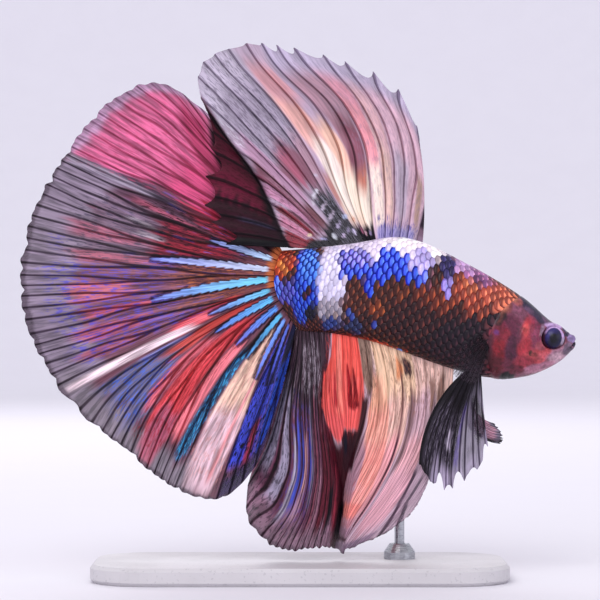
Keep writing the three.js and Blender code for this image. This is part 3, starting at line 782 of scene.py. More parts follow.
# ---------------------------------------------------------------- fins
def ray_point(guides, centre, root, across, out):
    direction = np.radians(follow(guides, across, 1))
    distance = follow(guides, across, 2)
    curl = np.radians(follow(guides, across, 3))
    curl = np.where(np.abs(curl) < 1e-5, 1e-5, curl)
    chord_x = centre[0] + distance * np.cos(direction) - root[0]
    chord_z = centre[1] + distance * np.sin(direction) - root[1]
    chord = np.hypot(chord_x, chord_z)
    heading = np.arctan2(chord_z, chord_x) - curl / 2
    radius = chord / (2 * np.sin(curl / 2))
    x = root[0] + radius * (np.sin(heading + curl * out) - np.sin(heading))
    z = root[1] - radius * (np.cos(heading + curl * out) - np.cos(heading))
    return x, z, chord


def tail_root(u):
    z = between(TAIL_ROOT["top"], TAIL_ROOT["foot"], np.clip(u, 0, 1) ** TAIL_ROOT["crowding"])
    return tail_edge(z), z


def back_root(u):
    x = BACK_ROOT["front"] - BACK_ROOT["length"] * u
    return x, follow(BACK, x / STANDARD_LENGTH)


def belly_root(u):
    x = BELLY_ROOT["rear"] + BELLY_ROOT["length"] * np.clip(u, 0, 1) ** BELLY_ROOT["crowding"]
    return x, follow(BELLY, x / STANDARD_LENGTH)


def pelvic_root(side):
    start, length = PELVIC_ROOTS[side]
    return lambda u: (start + length * u, np.full_like(u, PELVIC_LEVEL))


def tail_sway(u, v):
    upper = TAIL_SWAY["upper"] * rise(1 - u / 0.5) * rise(v * 0.9)
    lower = -TAIL_SWAY["lower"] * rise((u - 0.6) / 0.4) * rise(v * 1.3)
    return upper + lower + TAIL_SWAY["ripple"] * np.sin(u * 23 + 0.6) * v**2


def back_fin_folded(u, v, sharpness=0.1):
    return rise((v - follow(BACK_FIN_CREASE, u)) / sharpness + 0.5) * rise((u - 0.6) / 0.06)


def back_sway(u, v):
    near = -BACK_SWAY["near"] * rise(u / 0.7) * rise(v / 0.9) - BACK_SWAY["ripple"] * np.sin(u * 19) * v**2
    far = -BACK_SWAY["folded"] * rise(v / 0.22)
    return between(near, far, back_fin_folded(u, v))


def belly_valley(u, v):
    left, right = follow(VALLEY_LEFT, v), follow(VALLEY_RIGHT, v)
    return rise((u - left) / 0.05 + 0.5) * rise((right - u) / 0.05 + 0.5)


def belly_sway(u, v):
    near = -BELLY_SWAY["rear"] * rise(v / 0.5) * rise(u / 0.14)
    near = near + BELLY_SWAY["rear_edge"] * rise(1 - u / 0.1) * rise(v / 0.6)
    valley = BELLY_SWAY["valley"] * belly_valley(u, v) * rise(v / 0.3)
    return near + BELLY_SWAY["ripple"] * np.sin(u * 31) * v**2 + valley


def right_pelvic_sway(u, v):
    return -1.1 - 2 * v**1.3 - 0.35 * np.sin(u * 9) * v


def left_pelvic_sway(u, v):
    return 1.1 + 1.8 * v**1.2 + 0.4 * np.sin(u * 7) * v


def pectoral_surface(side):
    def surface(u, v):
        x, z, chord = ray_point(PECTORAL_GUIDES, (0, 0), (0, 0), u, v)
        root_x, root_y, root_z = PECTORAL_ROOT
        y = side * (root_y + chord * v * math.sin(PECTORAL_FLARE) + 0.25 * np.sin(u * 6) * v)
        return root_x + 0.9 * u + x * math.cos(PECTORAL_FLARE), y, root_z - 1.6 * u + z * 0.96

    return surface


def fin_surface(guides, centre, root, sway):
    def surface(u, v):
        x, z, _ = ray_point(guides, centre, root(u), u, v)
        return x, sway(u, np.maximum(v, 0)), z

    return surface


def tail_lane(u, v):
    """Ray number at a place on the tail; rays stand at whole numbers."""
    return TAIL_RAYS * (u - follow(TAIL_RAY_LEAN, u) * (v - 0.7)) + 0.05 * mottle(u * 30, v * 5, 5)


def back_lane(u, v):
    bow = follow(BACK_RAY_BOW, v) * (1 - 0.5 * rise((u - 0.4) / 0.15)) * (1 - rise((u - 0.56) / 0.1))
    return np.interp(u - bow, BACK_RAY_PLACES, range(len(BACK_RAY_PLACES))) + 0.05 * mottle(u * 12, v * 6, 2)


def belly_lane(u, v):
    forward = 0.3 * np.maximum(v, 0) ** 2.4 * (1 - 0.12 * rise((u - 0.75) / 0.2))
    back = -0.1 * rise((v - 0.25) / 0.45) * (1 - 0.2 * rise((v - 0.8) / 0.2)) * rise(u / 0.25)
    bent = u + between(back, forward, rise((u - 0.44) / 0.08))
    return BELLY_RAYS * bent + 0.06 * mottle(u * 20, v * 5, 7)


def ray_strength(lane, v, fork):
    """How strongly a ray stands at a point: main rays that fork once and then again."""
    cell = np.abs((lane + 0.5) % 1 - 0.5)
    first = fork[0] * rise((v - FORK_STARTS[0]) / FORK_LENGTH)
    second = fork[1] * rise((v - FORK_STARTS[1]) / FORK_LENGTH)
    away = np.abs(np.abs(cell - first) - second)
    return bump_at(away, between(*RAY_RIDGE, np.clip(v, 0, 1)))


def rag_line(u, cells, seed):
    """Uneven ends that change from ray to ray."""
    return drift(u * cells * 0.5, seed) * 0.6 + (scatter(np.floor(u * cells), seed + 9) - 0.5) * 0.9


def streak_mask(u, v, row, seed, cells):
    _, start, end, *sides, blur, rag, soft = row
    inner, outer = sides[0], sides[-1]
    t = np.clip((v - start) / (end - start), 0, 1)
    left, right = between(inner[0], outer[0], t), between(inner[1], outer[1], t)
    width = max(soft, 0.003)
    across = rise((u - left) / width + 0.5) * rise((right - u) / width + 0.5)
    begin = start + rag * rag_line(u, cells, seed)
    finish = end + rag * rag_line(u, cells, seed + 31)
    return across * rise((v - begin) / blur + 0.5) * rise((finish - v) / blur + 0.5)


# Streaks along the rays: colour; start and end out along the rays; left and right across at the start,
# and at the end where that differs; softness of the ends, raggedness, softness of the sides.
WIDE = (-1, 2)
# How many ragged ends a streak right across each fin would have.
RAGS = {"tail": 112, "back": 60, "belly": 90, "paired": 30}
FLECK_SEED = 60
HEAD_SEED = 40
# Threads between the rays: the dark colour and its strength; the light colour, its strength and where it
# starts; how far and how often they wander; the light patches across and along, and their softness.
TAIL_THREADS = (("35182A", 0.62), ("6C64C0", 0.55, 0.75), (1.4, 26), (40, 22, 0.3))
BELLY_THREADS = (("1A1018", 0.72), ("A08C9C", 0.5, 0.7), (1.3, 30), (60, 14, 0.4))
TAIL_MARGIN = "50404F"
BELLY_MARGIN = "4A3A48"
WEDGE_EDGE = "170F2E"
# Colours of the back fin's folded part: its dark maroon is partly its own colour and partly painted shade of
# the fold.
FOLDED = {
    "base": "4C1024", "rose": "7C1C3C", "crease_shade": "12080E", "ray": "8D90C4", "rear": "1A0C16",
    "end": "0B0810",
}
EYE_TONES = {
    "behind": "4A2A3C", "front": "A79AB2", "crescent": "BC9ACC", "iris": "14122A", "sheen": "352C74",
    "threads": "2A2660", "pupil": "0A0916",
}
# Places on the tail where the rays' dark lines are weaker: left, right and the share that is kept.
TAIL_PALE_RAYS = ((0.848, 0.92, 0.35), (0.616, 0.648, 0.3), (0.05, 0.24, 0.8))
TAIL_STREAKS = [
    ("6E4453", -0.2, 1.2, WIDE, 0.1, 0, 0.01),
    ("6A3E4C", 0.05, 0.5, (0.38, 0.57), (0.36, 0.58), 0.15, 0.1, 0.03),
    ("84283A", 0.16, 0.54, (0.16, 0.38), (0.2, 0.4), 0.14, 0.1, 0.03),
    ("9A2C3E", 0.19, 0.38, (0.16, 0.235), (0.19, 0.225), 0.14, 0.05, 0.012),
    ("66475A", 0.4, 0.86, (0.19, 0.255), (0.198, 0.262), 0.16, 0.1, 0.012),
    ("98283A", 0.2, 0.44, (0.275, 0.345), (0.29, 0.35), 0.12, 0.1, 0.015),
    ("846C80", 0.5, 0.82, (0.255, 0.42), (0.265, 0.42), 0.1, 0.08, 0.02),
    ("8E5C6E", 0.34, 0.8, (0.42, 0.6), (0.41, 0.61), 0.14, 0.1, 0.02),
    ("8E7E92", 0.765, 1.2, (0.2, 0.63), 0.06, 0.05, 0.02),
    ("877A88", 0.85, 1.2, (0.6, 0.88), 0.08, 0.07, 0.02),
    ("2E1520", -0.2, 0.4, (-1, 0.21), (-1, 0.09), 0.1, 0.06, 0.02),
    ("2C121E", 0.3, 0.84, (-1, 0.085), (-1, 0.03), 0.1, 0.05, 0.012),
    ("B8324E", 0.31, 0.48, (0.14, 0.175), (0.1, 0.19), 0.07, 0.06, 0.01),
    ("CC4F7C", 0.41, 0.72, (0.098, 0.176), (0.052, 0.19), 0.05, 0.05, 0.008),
    ("DC6C98", 0.6, 0.98, (0.05, 0.19), (0.02, 0.252), 0.14, 0.05, 0.008),
    ("B8446C", 0.5, 0.86, (0.055, 0.082), (0.035, 0.07), 0.1, 0.06, 0.015),
    ("C89BBE", 0.962, 1.2, (-1, 0.245), (-1, 0.25), 0.04, 0.02, 0.01),
    ("54465A", 0.5, 0.94, (0.196, 0.212), (0.234, 0.256), 0.1, 0.05, 0.006),
    ("AA9CB0", 0.6, 0.98, (0.212, 0.224), (0.24, 0.254), 0.08, 0.05, 0.006),
    ("A8566E", 0.27, 0.7, (0.228, 0.24), (0.242, 0.256), 0.1, 0.06, 0.008),
    ("B6A8B6", 0.53, 0.64, (0.287, 0.301), (0.287, 0.3), 0.05, 0.03, 0.006),
    ("B6A8B6", 0.48, 0.57, (0.312, 0.328), (0.312, 0.326), 0.05, 0.03, 0.006),
    ("B06A80", 0.56, 0.84, (0.33, 0.358), (0.332, 0.362), 0.1, 0.08, 0.008),
    ("B4687C", 0.46, 0.8, (0.385, 0.405), (0.386, 0.41), 0.1, 0.08, 0.008),
    ("CE7482", 0.58, 0.79, (0.452, 0.492), (0.45, 0.49), 0.07, 0.06, 0.01),
    ("CC6478", 0.44, 0.8, (0.504, 0.518), (0.506, 0.522), 0.07, 0.05, 0.006),
    ("B25E74", 0.55, 0.8, (0.54, 0.568), (0.54, 0.57), 0.1, 0.07, 0.008),
    ("AE647A", 0.58, 0.81, (0.578, 0.6), (0.58, 0.602), 0.1, 0.07, 0.008),
    ("B4383C", 0.15, 0.42, (0.558, 0.608), (0.592, 0.62), 0.08, 0.06, 0.012),
    ("F66F7C", 0.28, 0.47, (0.59, 0.63), (0.612, 0.645), 0.07, 0.04, 0.01),
    ("B8403C", 0.11, 0.43, (0.632, 0.668), (0.655, 0.69), 0.08, 0.06, 0.01),
    ("C8504C", 0.38, 0.7, (0.66, 0.695), (0.674, 0.694), 0.1, 0.08, 0.01),
    ("6D6787", 0.56, 0.88, (0.648, 0.735), (0.65, 0.755), 0.12, 0.09, 0.012),
    ("8F8ABF", 0.4, 0.64, (0.65, 0.66), (0.646, 0.656), 0.07, 0.04, 0.005),
    ("F3DAE3", 0.38, 0.97, (0.618, 0.642), (0.621, 0.631), 0.07, 0.02, 0.007),
    ("DE6A7A", 0.32, 0.76, (0.695, 0.722), (0.72, 0.744), 0.09, 0.06, 0.01),
    ("D2454E", 0.14, 0.82, (0.714, 0.77), (0.754, 0.802), 0.08, 0.07, 0.012),
    ("EC5860", 0.38, 0.78, (0.74, 0.756), (0.76, 0.776), 0.1, 0.06, 0.008),
    ("B25A72", 0.7, 0.98, (0.757, 0.802), (0.766, 0.8), 0.08, 0.05, 0.01),
    ("F27F8C", 0.26, 0.8, (0.784, 0.812), (0.802, 0.823), 0.07, 0.05, 0.008),
    ("2C4E70", 0.3, 0.87, (0.82, 0.842), (0.826, 0.845), 0.08, 0.05, 0.006),
    ("F5CDB8", 0.1, 0.62, (0.846, 0.896), (0.85, 0.92), 0.06, 0.04, 0.008),
    ("EAC6D2", 0.55, 0.96, (0.85, 0.918), (0.86, 0.906), 0.12, 0.05, 0.008),
    ("E2949C", 0.32, 0.9, (0.9, 0.907), (0.893, 0.9), 0.08, 0.04, 0.004),
    ("3B45BE", 0.1, 0.82, (0.915, 0.962), (0.92, 0.962), 0.08, 0.06, 0.006),
    ("8A2C46", 0.6, 0.93, (0.942, 0.956), (0.946, 0.958), 0.06, 0.05, 0.005),
    ("1C3C9E", 0.25, 0.9, (0.962, 2), (0.965, 2), 0.08, 0.05, 0.008),
    ("121230", -0.2, 0.3, (0.952, 2), (0.965, 2), 0.08, 0.05, 0.008),
    ("3A2A52", 0.86, 1.1, (0.92, 2), 0.08, 0.05, 0.01),
    ("C96C3C", -0.2, 0.035, (-1, 0.58), 0.03, 0.01, 0.02),
]
# Bright wedges at the root of the tail: place, end, lean, half width, colour at the root and at the end.
TAIL_WEDGES = [
    (0.222, 0.29, 0.04, 0.036, "C4E0F8", "8E9CE8"),
    (0.362, 0.5, 0.026, 0.029, "DCE6FA", "8290EE"),
    (0.48, 0.5, 0.03, 0.031, "78DCF8", "8C94F0"),
    (0.598, 0.3, 0.015, 0.025, "74D6F5", "8A96F0"),
    (0.686, 0.32, 0.014, 0.03, "66C4F6", "7490F2"),
    (0.775, 0.29, 0.016, 0.022, "5098F2", "7C78D8"),
    (0.84, 0.29, 0.006, 0.016, "66C6F2", "5C9CE4"),
    (0.885, 0.35, 0.018, 0.013, "74A4F4", "6C7CE8"),
    (0.93, 0.38, 0.016, 0.008, "6C84F0", "4C50D0"),
]
# Second colours, that show as dashes along the rays, each with its strength.
TAIL_FLECKS = [
    (("5B55CC", 0.3, 0.9, (0.4, 0.6), (0.36, 0.61), 0.1, 0.08, 0.02), 0.75),
    (("4668CC", 0.5, 0.88, (0.645, 0.72), (0.65, 0.755), 0.12, 0.08, 0.01), 0.85),
    (("0E0B22", 0.06, 0.95, (0.908, 1.1), (0.92, 1.1), 0.06, 0.04, 0.01), 1),
    (("B8683E", 0.05, 0.4, (0.26, 0.57), (0.3, 0.56), 0.1, 0.08, 0.02), 0.8),
    (("2C1620", 0.1, 0.62, (0.16, 0.38), (0.22, 0.38), 0.1, 0.05, 0.02), 0.9),
    (("5A5064", 0.5, 0.84, (0.255, 0.41), (0.265, 0.41), 0.1, 0.05, 0.02), 0.8),
    (("C6486F", 0.42, 0.95, (0.05, 0.19), (0.03, 0.25), 0.1, 0.05, 0.01), 0.35),
    (("9C1F2A", 0.15, 0.9, (0.7, 0.8), (0.74, 0.81), 0.08, 0.05, 0.01), 0.6),
    (("DC9C98", 0.1, 0.9, (0.848, 0.9), (0.85, 0.918), 0.08, 0.05, 0.01), 0.5),
    (("3FA0D8", 0.25, 0.85, (0.818, 0.846), (0.824, 0.848), 0.08, 0.05, 0.006), 0.8),
]
# From here the places across are ray places: the ray's number over the number of rays.
BACK_STREAKS = [
    ("BEA6BC", -0.2, 1.2, WIDE, 0.1, 0, 0.01),
    ("DCB4C4", 0.06, 0.86, (0, 0.25), (0, 0.26), 0.2, 0.04, 0.03),
    ("BDAABC", 0.08, 0.5, (0.078, 0.145), (0.08, 0.15), 0.14, 0.04, 0.02),
    ("B08E80", 0.1, 0.5, (0.012, 0.03), (0.03, 0.05), 0.14, 0.04, 0.01),
    ("E6C0B6", 0.08, 0.56, (0.156, 0.2), (0.17, 0.215), 0.16, 0.05, 0.014),
    ("DDB0B6", 0.46, 0.8, (0.168, 0.21), (0.155, 0.2), 0.16, 0.05, 0.012),
    ("FFE9DC", 0.06, 0.44, (0.204, 0.238), (0.216, 0.25), 0.1, 0.04, 0.01),
    ("E89AA4", 0.36, 0.72, (0.216, 0.25), (0.212, 0.25), 0.1, 0.04, 0.01),
    ("DB97A8", 0.66, 0.95, (0.208, 0.25), (0.204, 0.244), 0.14, 0.04, 0.01),
    ("FFEEDC", 0.06, 0.3, (0.245, 0.3), (0.252, 0.296), 0.08, 0.04, 0.012),
    ("FADCC6", 0.06, 0.2, (0.29, 0.43), (0.3, 0.43), 0.08, 0.04, 0.02),
    ("FFEBD6", 0.12, 0.36, (0.292, 0.36), (0.305, 0.37), 0.08, 0.04, 0.012),
    ("F6C6B2", 0.33, 0.56, (0.312, 0.368), (0.345, 0.392), 0.12, 0.04, 0.012),
    ("FFEFE2", 0.14, 0.34, (0.34, 0.412), (0.352, 0.42), 0.08, 0.04, 0.01),
    ("FFECE2", 0.32, 0.54, (0.352, 0.42), (0.396, 0.434), 0.1, 0.04, 0.01),
    ("EDB4AC", 0.5, 0.74, (0.378, 0.44), (0.4, 0.455), 0.14, 0.05, 0.012),
    ("D59AA2", 0.7, 0.9, (0.37, 0.44), (0.38, 0.44), 0.14, 0.05, 0.012),
    ("C98C84", 0.18, 0.34, (0.412, 0.44), (0.418, 0.444), 0.1, 0.04, 0.01),
    ("C47A68", 0.22, 0.37, (0.262, 0.3), (0.258, 0.3), 0.12, 0.03, 0.01),
    ("8E5868", 0.33, 0.64, (0.258, 0.322), (0.26, 0.332), 0.12, 0.05, 0.012),
    ("9B6E7C", 0.44, 0.7, (0.31, 0.33), (0.318, 0.345), 0.14, 0.05, 0.012),
    ("B48A9A", 0.6, 0.88, (0.254, 0.35), (0.25, 0.35), 0.16, 0.05, 0.014),
    ("C69CAE", 0.3, 0.62, (0.444, 0.498), (0.45, 0.498), 0.12, 0.05, 0.012),
    ("935C70", 0.3, 0.52, (0.498, 0.63), (0.498, 0.64), 0.12, 0.07, 0.014),
    ("B8607A", 0.32, 0.5, (0.548, 0.588), (0.548, 0.586), 0.08, 0.04, 0.01),
    ("AC9FB4", 0.52, 1.1, (0.446, 0.66), 0.14, 0.06, 0.016),
    ("C6BACE", 0.84, 1.2, (0.44, 0.72), 0.14, 0.06, 0.02),
    ("C0B2CC", 0.84, 1.2, (-1, 0.36), 0.12, 0.03, 0.02),
    ("C497B4", 0.28, 0.72, (0.622, 0.694), (0.64, 0.694), 0.12, 0.05, 0.014),
    ("7C4650", 0.1, 0.3, (0.64, 0.7), (0.65, 0.7), 0.1, 0.05, 0.012),
    ("7E4458", 0.14, 0.66, (0.692, 0.756), 0.1, 0.05, 0.01),
    ("A46C82", 0.26, 0.58, (0.71, 0.738), (0.708, 0.736), 0.12, 0.04, 0.01),
    ("D494B6", 0.12, 0.62, (0.748, 0.768), (0.756, 0.79), 0.1, 0.04, 0.01),
    ("5E1C34", 0.12, 0.36, (0.77, 0.784), (0.778, 0.79), 0.08, 0.04, 0.006),
    ("8E2C3C", 0.1, 0.42, (0.786, 0.818), (0.79, 0.816), 0.08, 0.04, 0.008),
    ("DC90AE", 0.12, 0.38, (0.818, 0.884), (0.82, 0.876), 0.08, 0.03, 0.008),
    ("98303F", 0.04, 0.3, (0.882, 1.1), (0.884, 1.1), 0.06, 0.03, 0.01),
    ("8A2233", 0.04, 0.11, (0.825, 1.1), (0.83, 1.1), 0.03, 0.015, 0.01),
    ("19131D", -0.2, 0.26, (0.452, 0.62), (0.46, 0.6), 0.08, 0.07, 0.014),
    ("19131D", -0.2, 0.14, (0.39, 0.8), (0.44, 0.7), 0.05, 0.03, 0.014),
    ("17121C", -0.2, 0.07, (0.24, 2), (0.25, 2), 0.04, 0.025, 0.01),
    ("A096C6", -0.2, 0.06, (0.02, 0.235), 0.05, 0.02, 0.01),
    ("5F4A60", 0.1, 0.8, (-1, 0.006), (-1, 0.012), 0.05, 0, 0.006),
]
BACK_FLECKS = [
    (("5C4C68", 0.46, 1, (0.45, 0.66), 0.1, 0.05, 0.01), 0.5),
    # Painted highlights: pale dashes along the crease edge of the fold, where it catches the light.
    (("E2DAEA", 0.72, 0.98, (0.656, 0.69), (0.65, 0.68), 0.06, 0.03, 0.008), 0.9),
    (("8E7A92", 0.1, 0.95, (-0.1, 0.26), (-0.1, 0.35), 0.1, 0.04, 0.02), 0.3),
    (("4C1C2E", 0.1, 0.6, (0.68, 0.98), 0.08, 0.04, 0.01), 0.45),
    (("554C9C", -0.02, 0.1, (0, 0.24), 0.05, 0.03, 0.02), 0.8),
    (("C8C4DA", -0.1, 0.28, (0.43, 0.66), (0.45, 0.64), 0.06, 0.04, 0.01), 0.35),
]
BACK_DASHES = [
    ("CFC4E2", (0.445, 0.05), (0.022, 0.014), 0.15),
    ("B9C2E0", (0.45, 0.127), (0.03, 0.011), 0.12),
    ("A99AC0", (0.5, 0.062), (0.03, 0.008), 0.25),
    ("C6B4D4", (0.59, 0.045), (0.04, 0.009), 0.3),
    ("B2A4C4", (0.565, 0.098), (0.045, 0.009), 0.3),
    ("BCAAC0", (0.56, 0.15), (0.05, 0.009), 0.3),
    ("C8B8CC", (0.575, 0.2), (0.045, 0.009), 0.3),
    ("E6E2EE", (0.562, 0.268), (0.032, 0.011), 0.35),
    ("E2D8E6", (0.612, 0.238), (0.016, 0.01), 0.4),
    ("D2C8DA", (0.485, 0.34), (0.012, 0.01), 0),
    ("D6D8E2", (0.665, 0.055), (0.022, 0.02), 0.2),
    ("B6B0DC", (0.765, 0.06), (0.026, 0.013), -0.3),
    ("F4DCBC", (0.822, 0.13), (0.024, 0.014), 0),
    ("A2607A", (0.36, 0.05), (0.02, 0.02), 0.3),
    ("C49AA8", (0.33, 0.035), (0.02, 0.012), 0.3),
    ("8A7A9C", (0.28, 0.03), (0.014, 0.012), 0.3),
    ("E8B49C", (0.39, 0.11), (0.02, 0.014), 0.2),
]
BELLY_STREAKS = [
    ("CFB0C2", -0.2, 1.3, WIDE, 0.1, 0, 0.01),
    ("F3CCAC", -0.2, 0.3, (0.6, 0.83), (0.62, 0.83), 0.14, 0.06, 0.02),
    ("EFC6BA", -0.2, 0.22, (0.82, 1.3), 0.14, 0.06, 0.02),
    ("ECBFB2", 0.24, 0.52, (0.66, 0.78), (0.69, 0.79), 0.14, 0.06, 0.02),
    ("F2AAB0", 0.44, 0.86, (0.7, 0.77), (0.72, 0.79), 0.14, 0.06, 0.012),
    ("D6B0BC", 0.2, 0.5, (0.82, 0.92), (0.8, 0.9), 0.12, 0.06, 0.02),
    ("F6BCC4", 0.44, 0.7, (0.8, 0.92), (0.82, 0.94), 0.12, 0.05, 0.014),
    ("E8B0BE", 0.62, 0.9, (0.8, 0.94), (0.82, 0.98), 0.12, 0.05, 0.014),
    ("9C8072", -0.2, 0.24, (0.545, 0.625), (0.55, 0.6), 0.06, 0.04, 0.01),
    ("D98C62", 0.05, 0.16, (0.735, 0.765), (0.72, 0.76), 0.05, 0.03, 0.01),
    ("3A2A30", 0.03, 0.13, (0.768, 0.808), (0.766, 0.806), 0.03, 0.02, 0.008),
    ("8C6A70", 0.2, 0.6, (0.79, 0.82), 0.12, 0.06, 0.01),
    ("8A6A62", 0.1, 0.3, (0.893, 0.915), (0.9, 0.918), 0.08, 0.05, 0.008),
    ("84665E", 0.06, 0.24, (0.938, 0.965), (0.93, 0.955), 0.08, 0.05, 0.008),
    ("6A3C42", 0.1, 0.5, (0.742, 0.75), (0.75, 0.758), 0.08, 0.04, 0.006),
    ("5A3040", 0.46, 0.92, (0.75, 0.764), (0.775, 0.79), 0.08, 0.04, 0.006),
    ("FCC2A4", 0.16, 0.36, (0.603, 0.652), (0.583, 0.676), 0.06, 0.03, 0.01),
    ("FBB4A2", 0.32, 0.52, (0.584, 0.68), (0.604, 0.704), 0.08, 0.03, 0.008),
    ("FAA59A", 0.48, 0.7, (0.606, 0.702), (0.652, 0.736), 0.08, 0.02, 0.008),
    ("FBAAA2", 0.68, 0.83, (0.652, 0.736), (0.655, 0.74), 0.05, 0.02, 0.01),
    ("B58A9A", 0.46, 0.7, (0.585, 0.608), (0.6, 0.65), 0.08, 0.04, 0.01),
    ("5C4456", 0.64, 0.82, (0.936, 0.958), (0.975, 0.995), 0.06, 0.03, 0.008),
    ("5C4456", 0.8, 1.04, (0.972, 0.992), (1.06, 1.09), 0.06, 0.03, 0.01),
    ("6A5366", 0.7, 0.86, (1.02, 1.045), (1.03, 1.06), 0.06, 0.03, 0.008),
    ("6A5366", 0.84, 1.06, (1.03, 1.055), (1.17, 1.2), 0.06, 0.03, 0.01),
    ("44303C", -0.2, 0.5, (-1, 0.43), (-1, 0.27), 0.1, 0.04, 0.01),
    ("62364C", 0.38, 1.2, (-1, 0.35), 0.12, 0.06, 0.016),
    ("8E869C", 0.3, 0.84, (0.045, 0.068), (0.044, 0.066), 0.12, 0.06, 0.006),
    ("9A90A8", 0.36, 0.9, (0.077, 0.091), (0.076, 0.09), 0.12, 0.06, 0.004),
    ("857A90", 0.34, 0.8, (0.19, 0.202), 0.12, 0.06, 0.005),
    ("8A4A5C", 0.3, 0.94, (0.222, 0.232), (0.22, 0.23), 0.12, 0.06, 0.005),
    ("7A5466", 0.55, 1, (0.272, 0.282), (0.27, 0.28), 0.12, 0.06, 0.005),
    ("B3A9BC", 0.5, 0.98, (0.104, 0.114), (0.112, 0.124), 0.1, 0.05, 0.006),
    ("4450B4", 0.4, 0.84, (0.118, 0.128), (0.122, 0.132), 0.1, 0.06, 0.004),
    ("3A449C", 0.42, 0.8, (0.138, 0.145), (0.14, 0.148), 0.1, 0.06, 0.004),
    ("DDA8A2", 0.46, 0.74, (0.152, 0.162), (0.15, 0.16), 0.08, 0.05, 0.004),
    ("AC8496", 0.7, 0.97, (0.144, 0.166), (0.132, 0.158), 0.08, 0.05, 0.006),
    ("3C46A0", 0.46, 0.7, (0.176, 0.186), (0.18, 0.188), 0.08, 0.05, 0.004),
    ("9A6C7E", 0.62, 0.98, (0.236, 0.25), (0.232, 0.25), 0.1, 0.05, 0.006),
    ("5C1C2C", 0.44, 1.2, (0.256, 0.345), 0.12, 0.05, 0.008),
    ("17101A", 0.7, 0.92, (0.298, 0.318), (0.296, 0.316), 0.06, 0.04, 0.006),
    ("8E3244", 0.6, 1.1, (0.324, 0.336), (0.322, 0.336), 0.08, 0.04, 0.005),
    ("8E6A7E", 0.88, 1.2, (-0.1, 0.345), (-0.1, 0.35), 0.1, 0.08, 0.015),
    ("421420", 0.5, 1.2, (0.344, 0.56), (0.344, 0.5), 0.06, 0.02, 0.01),
    ("34141F", 0.42, 0.62, (0.4, 0.578), (0.4, 0.58), 0.05, 0.02, 0.01),
    ("1B1526", 0.44, 0.54, (0.42, 0.47), (0.42, 0.475), 0.06, 0.02, 0.012),
    ("3E1420", 0.66, 0.8, (0.36, 0.47), 0.06, 0.03, 0.014),
    ("17131B", 0.77, 0.92, (0.35, 0.5), (0.35, 0.52), 0.04, 0.01, 0.014),
    ("B98C9E", 0.62, 0.72, (0.53, 0.63), (0.47, 0.65), 0.04, 0.01, 0.016),
    ("C48A96", 0.715, 0.77, (0.49, 0.66), 0.04, 0.02, 0.02),
    ("F08C84", 0.76, 0.835, (0.53, 0.74), 0.025, 0.006, 0.02),
    ("C08492", 0.83, 0.88, (0.5, 0.755), 0.04, 0.02, 0.02),
    ("AE869C", 0.875, 0.915, (0.46, 0.78), 0.02, 0.006, 0.02),
    ("5A3646", 0.918, 0.94, (0.44, 0.78), 0.015, 0.006, 0.02),
    ("9C8098", 0.945, 1.2, (0.4, 1), 0.015, 0.006, 0.02),
    ("FA6258", -0.2, 0.14, (0.425, 0.55), (0.372, 0.55), 0.04, 0.01, 0.006),
    ("FB665C", 0.1, 0.22, (0.378, 0.548), (0.31, 0.555), 0.03, 0.01, 0.006),
    ("FB6C66", 0.18, 0.34, (0.316, 0.554), (0.288, 0.566), 0.03, 0.01, 0.006),
    ("F96A68", 0.3, 0.43, (0.288, 0.566), (0.322, 0.566), 0.025, 0.012, 0.006),
    ("F4686A", 0.38, 0.5, (0.306, 0.47), (0.366, 0.386), 0.03, 0.015, 0.008),
    ("FF8E80", 0.02, 0.38, (0.42, 0.45), (0.4, 0.45), 0.1, 0.05, 0.012),
    ("A8262F", 0.2, 0.28, (0.364, 0.369), (0.356, 0.366), 0.03, 0.015, 0.006),
    ("B0303A", 0.18, 0.34, (0.398, 0.406), (0.392, 0.42), 0.04, 0.02, 0.006),
    ("8E1420", 0.13, 0.335, (0.476, 0.484), (0.484, 0.525), 0.02, 0.015, 0.006),
    ("7C101C", 0.14, 0.335, (0.506, 0.512), (0.52, 0.55), 0.02, 0.015, 0.006),
    ("3A1820", 0.27, 0.62, (0.552, 0.576), (0.572, 0.59), 0.05, 0.02, 0.006),
    ("93304A", 0.14, 0.76, (-0.1, 0.03), (-0.1, 0.045), 0.08, 0.05, 0.01),
    ("C27A94", 0.76, 1.2, (-0.1, 0.045), (-0.1, 0.05), 0.06, 0.03, 0.008),
]
BELLY_FLECKS = [
    (("181020", 0, 1, (0.02, 0.3), (0.04, 0.3), 0.1, 0.05, 0.02), 0.6),
    (("4A58C4", 0.34, 0.86, (0.1, 0.2), 0.1, 0.05, 0.01), 0.32),
    (("BEB2C0", 0.06, 0.3, (0.12, 0.3), (0.14, 0.3), 0.06, 0.05, 0.02), 0.6),
    (("1E1018", 0.4, 1, (0.25, 0.35), 0.08, 0.05, 0.02), 0.6),
    (("6E5048", 0, 0.3, (0.545, 0.63), (0.56, 0.62), 0.06, 0.05, 0.01), 0.8),
    (("8E6052", 0, 0.36, (0.66, 0.97), (0.7, 0.97), 0.1, 0.08, 0.02), 0.65),
    (("D86A6C", 0.3, 0.85, (0.6, 0.7), (0.64, 0.74), 0.08, 0.05, 0.01), 0.35),
    (("E24A42", 0, 0.45, (0.34, 0.55), (0.3, 0.55), 0.08, 0.04, 0.01), 0.4),
]
RIGHT_PELVIC_STREAKS = [
    ("18131B", -0.2, 1.2, WIDE, 0.1, 0, 0.01),
    ("2A2230", 0.35, 0.9, (0.05, 0.6), (0.05, 0.5), 0.2, 0.1, 0.1),
    ("7E7488", 0.2, 1.2, (0.66, 2), (0.52, 2), 0.3, 0.12, 0.12),
    ("2A2030", 0.24, 0.86, (0.72, 0.86), (0.9, 1.1), 0.12, 0.05, 0.06),
    ("6A5A98", 0.3, 1, (0.62, 0.66), (0.54, 0.6), 0.1, 0.05, 0.02),
    ("A79AB4", 0.8, 1.2, (0.3, 1.2), (0.2, 1.2), 0.14, 0.1, 0.1),
    ("C6BACE", 0.52, 0.66, (0.44, 0.48), (0.45, 0.5), 0.05, 0.02, 0.02),
]
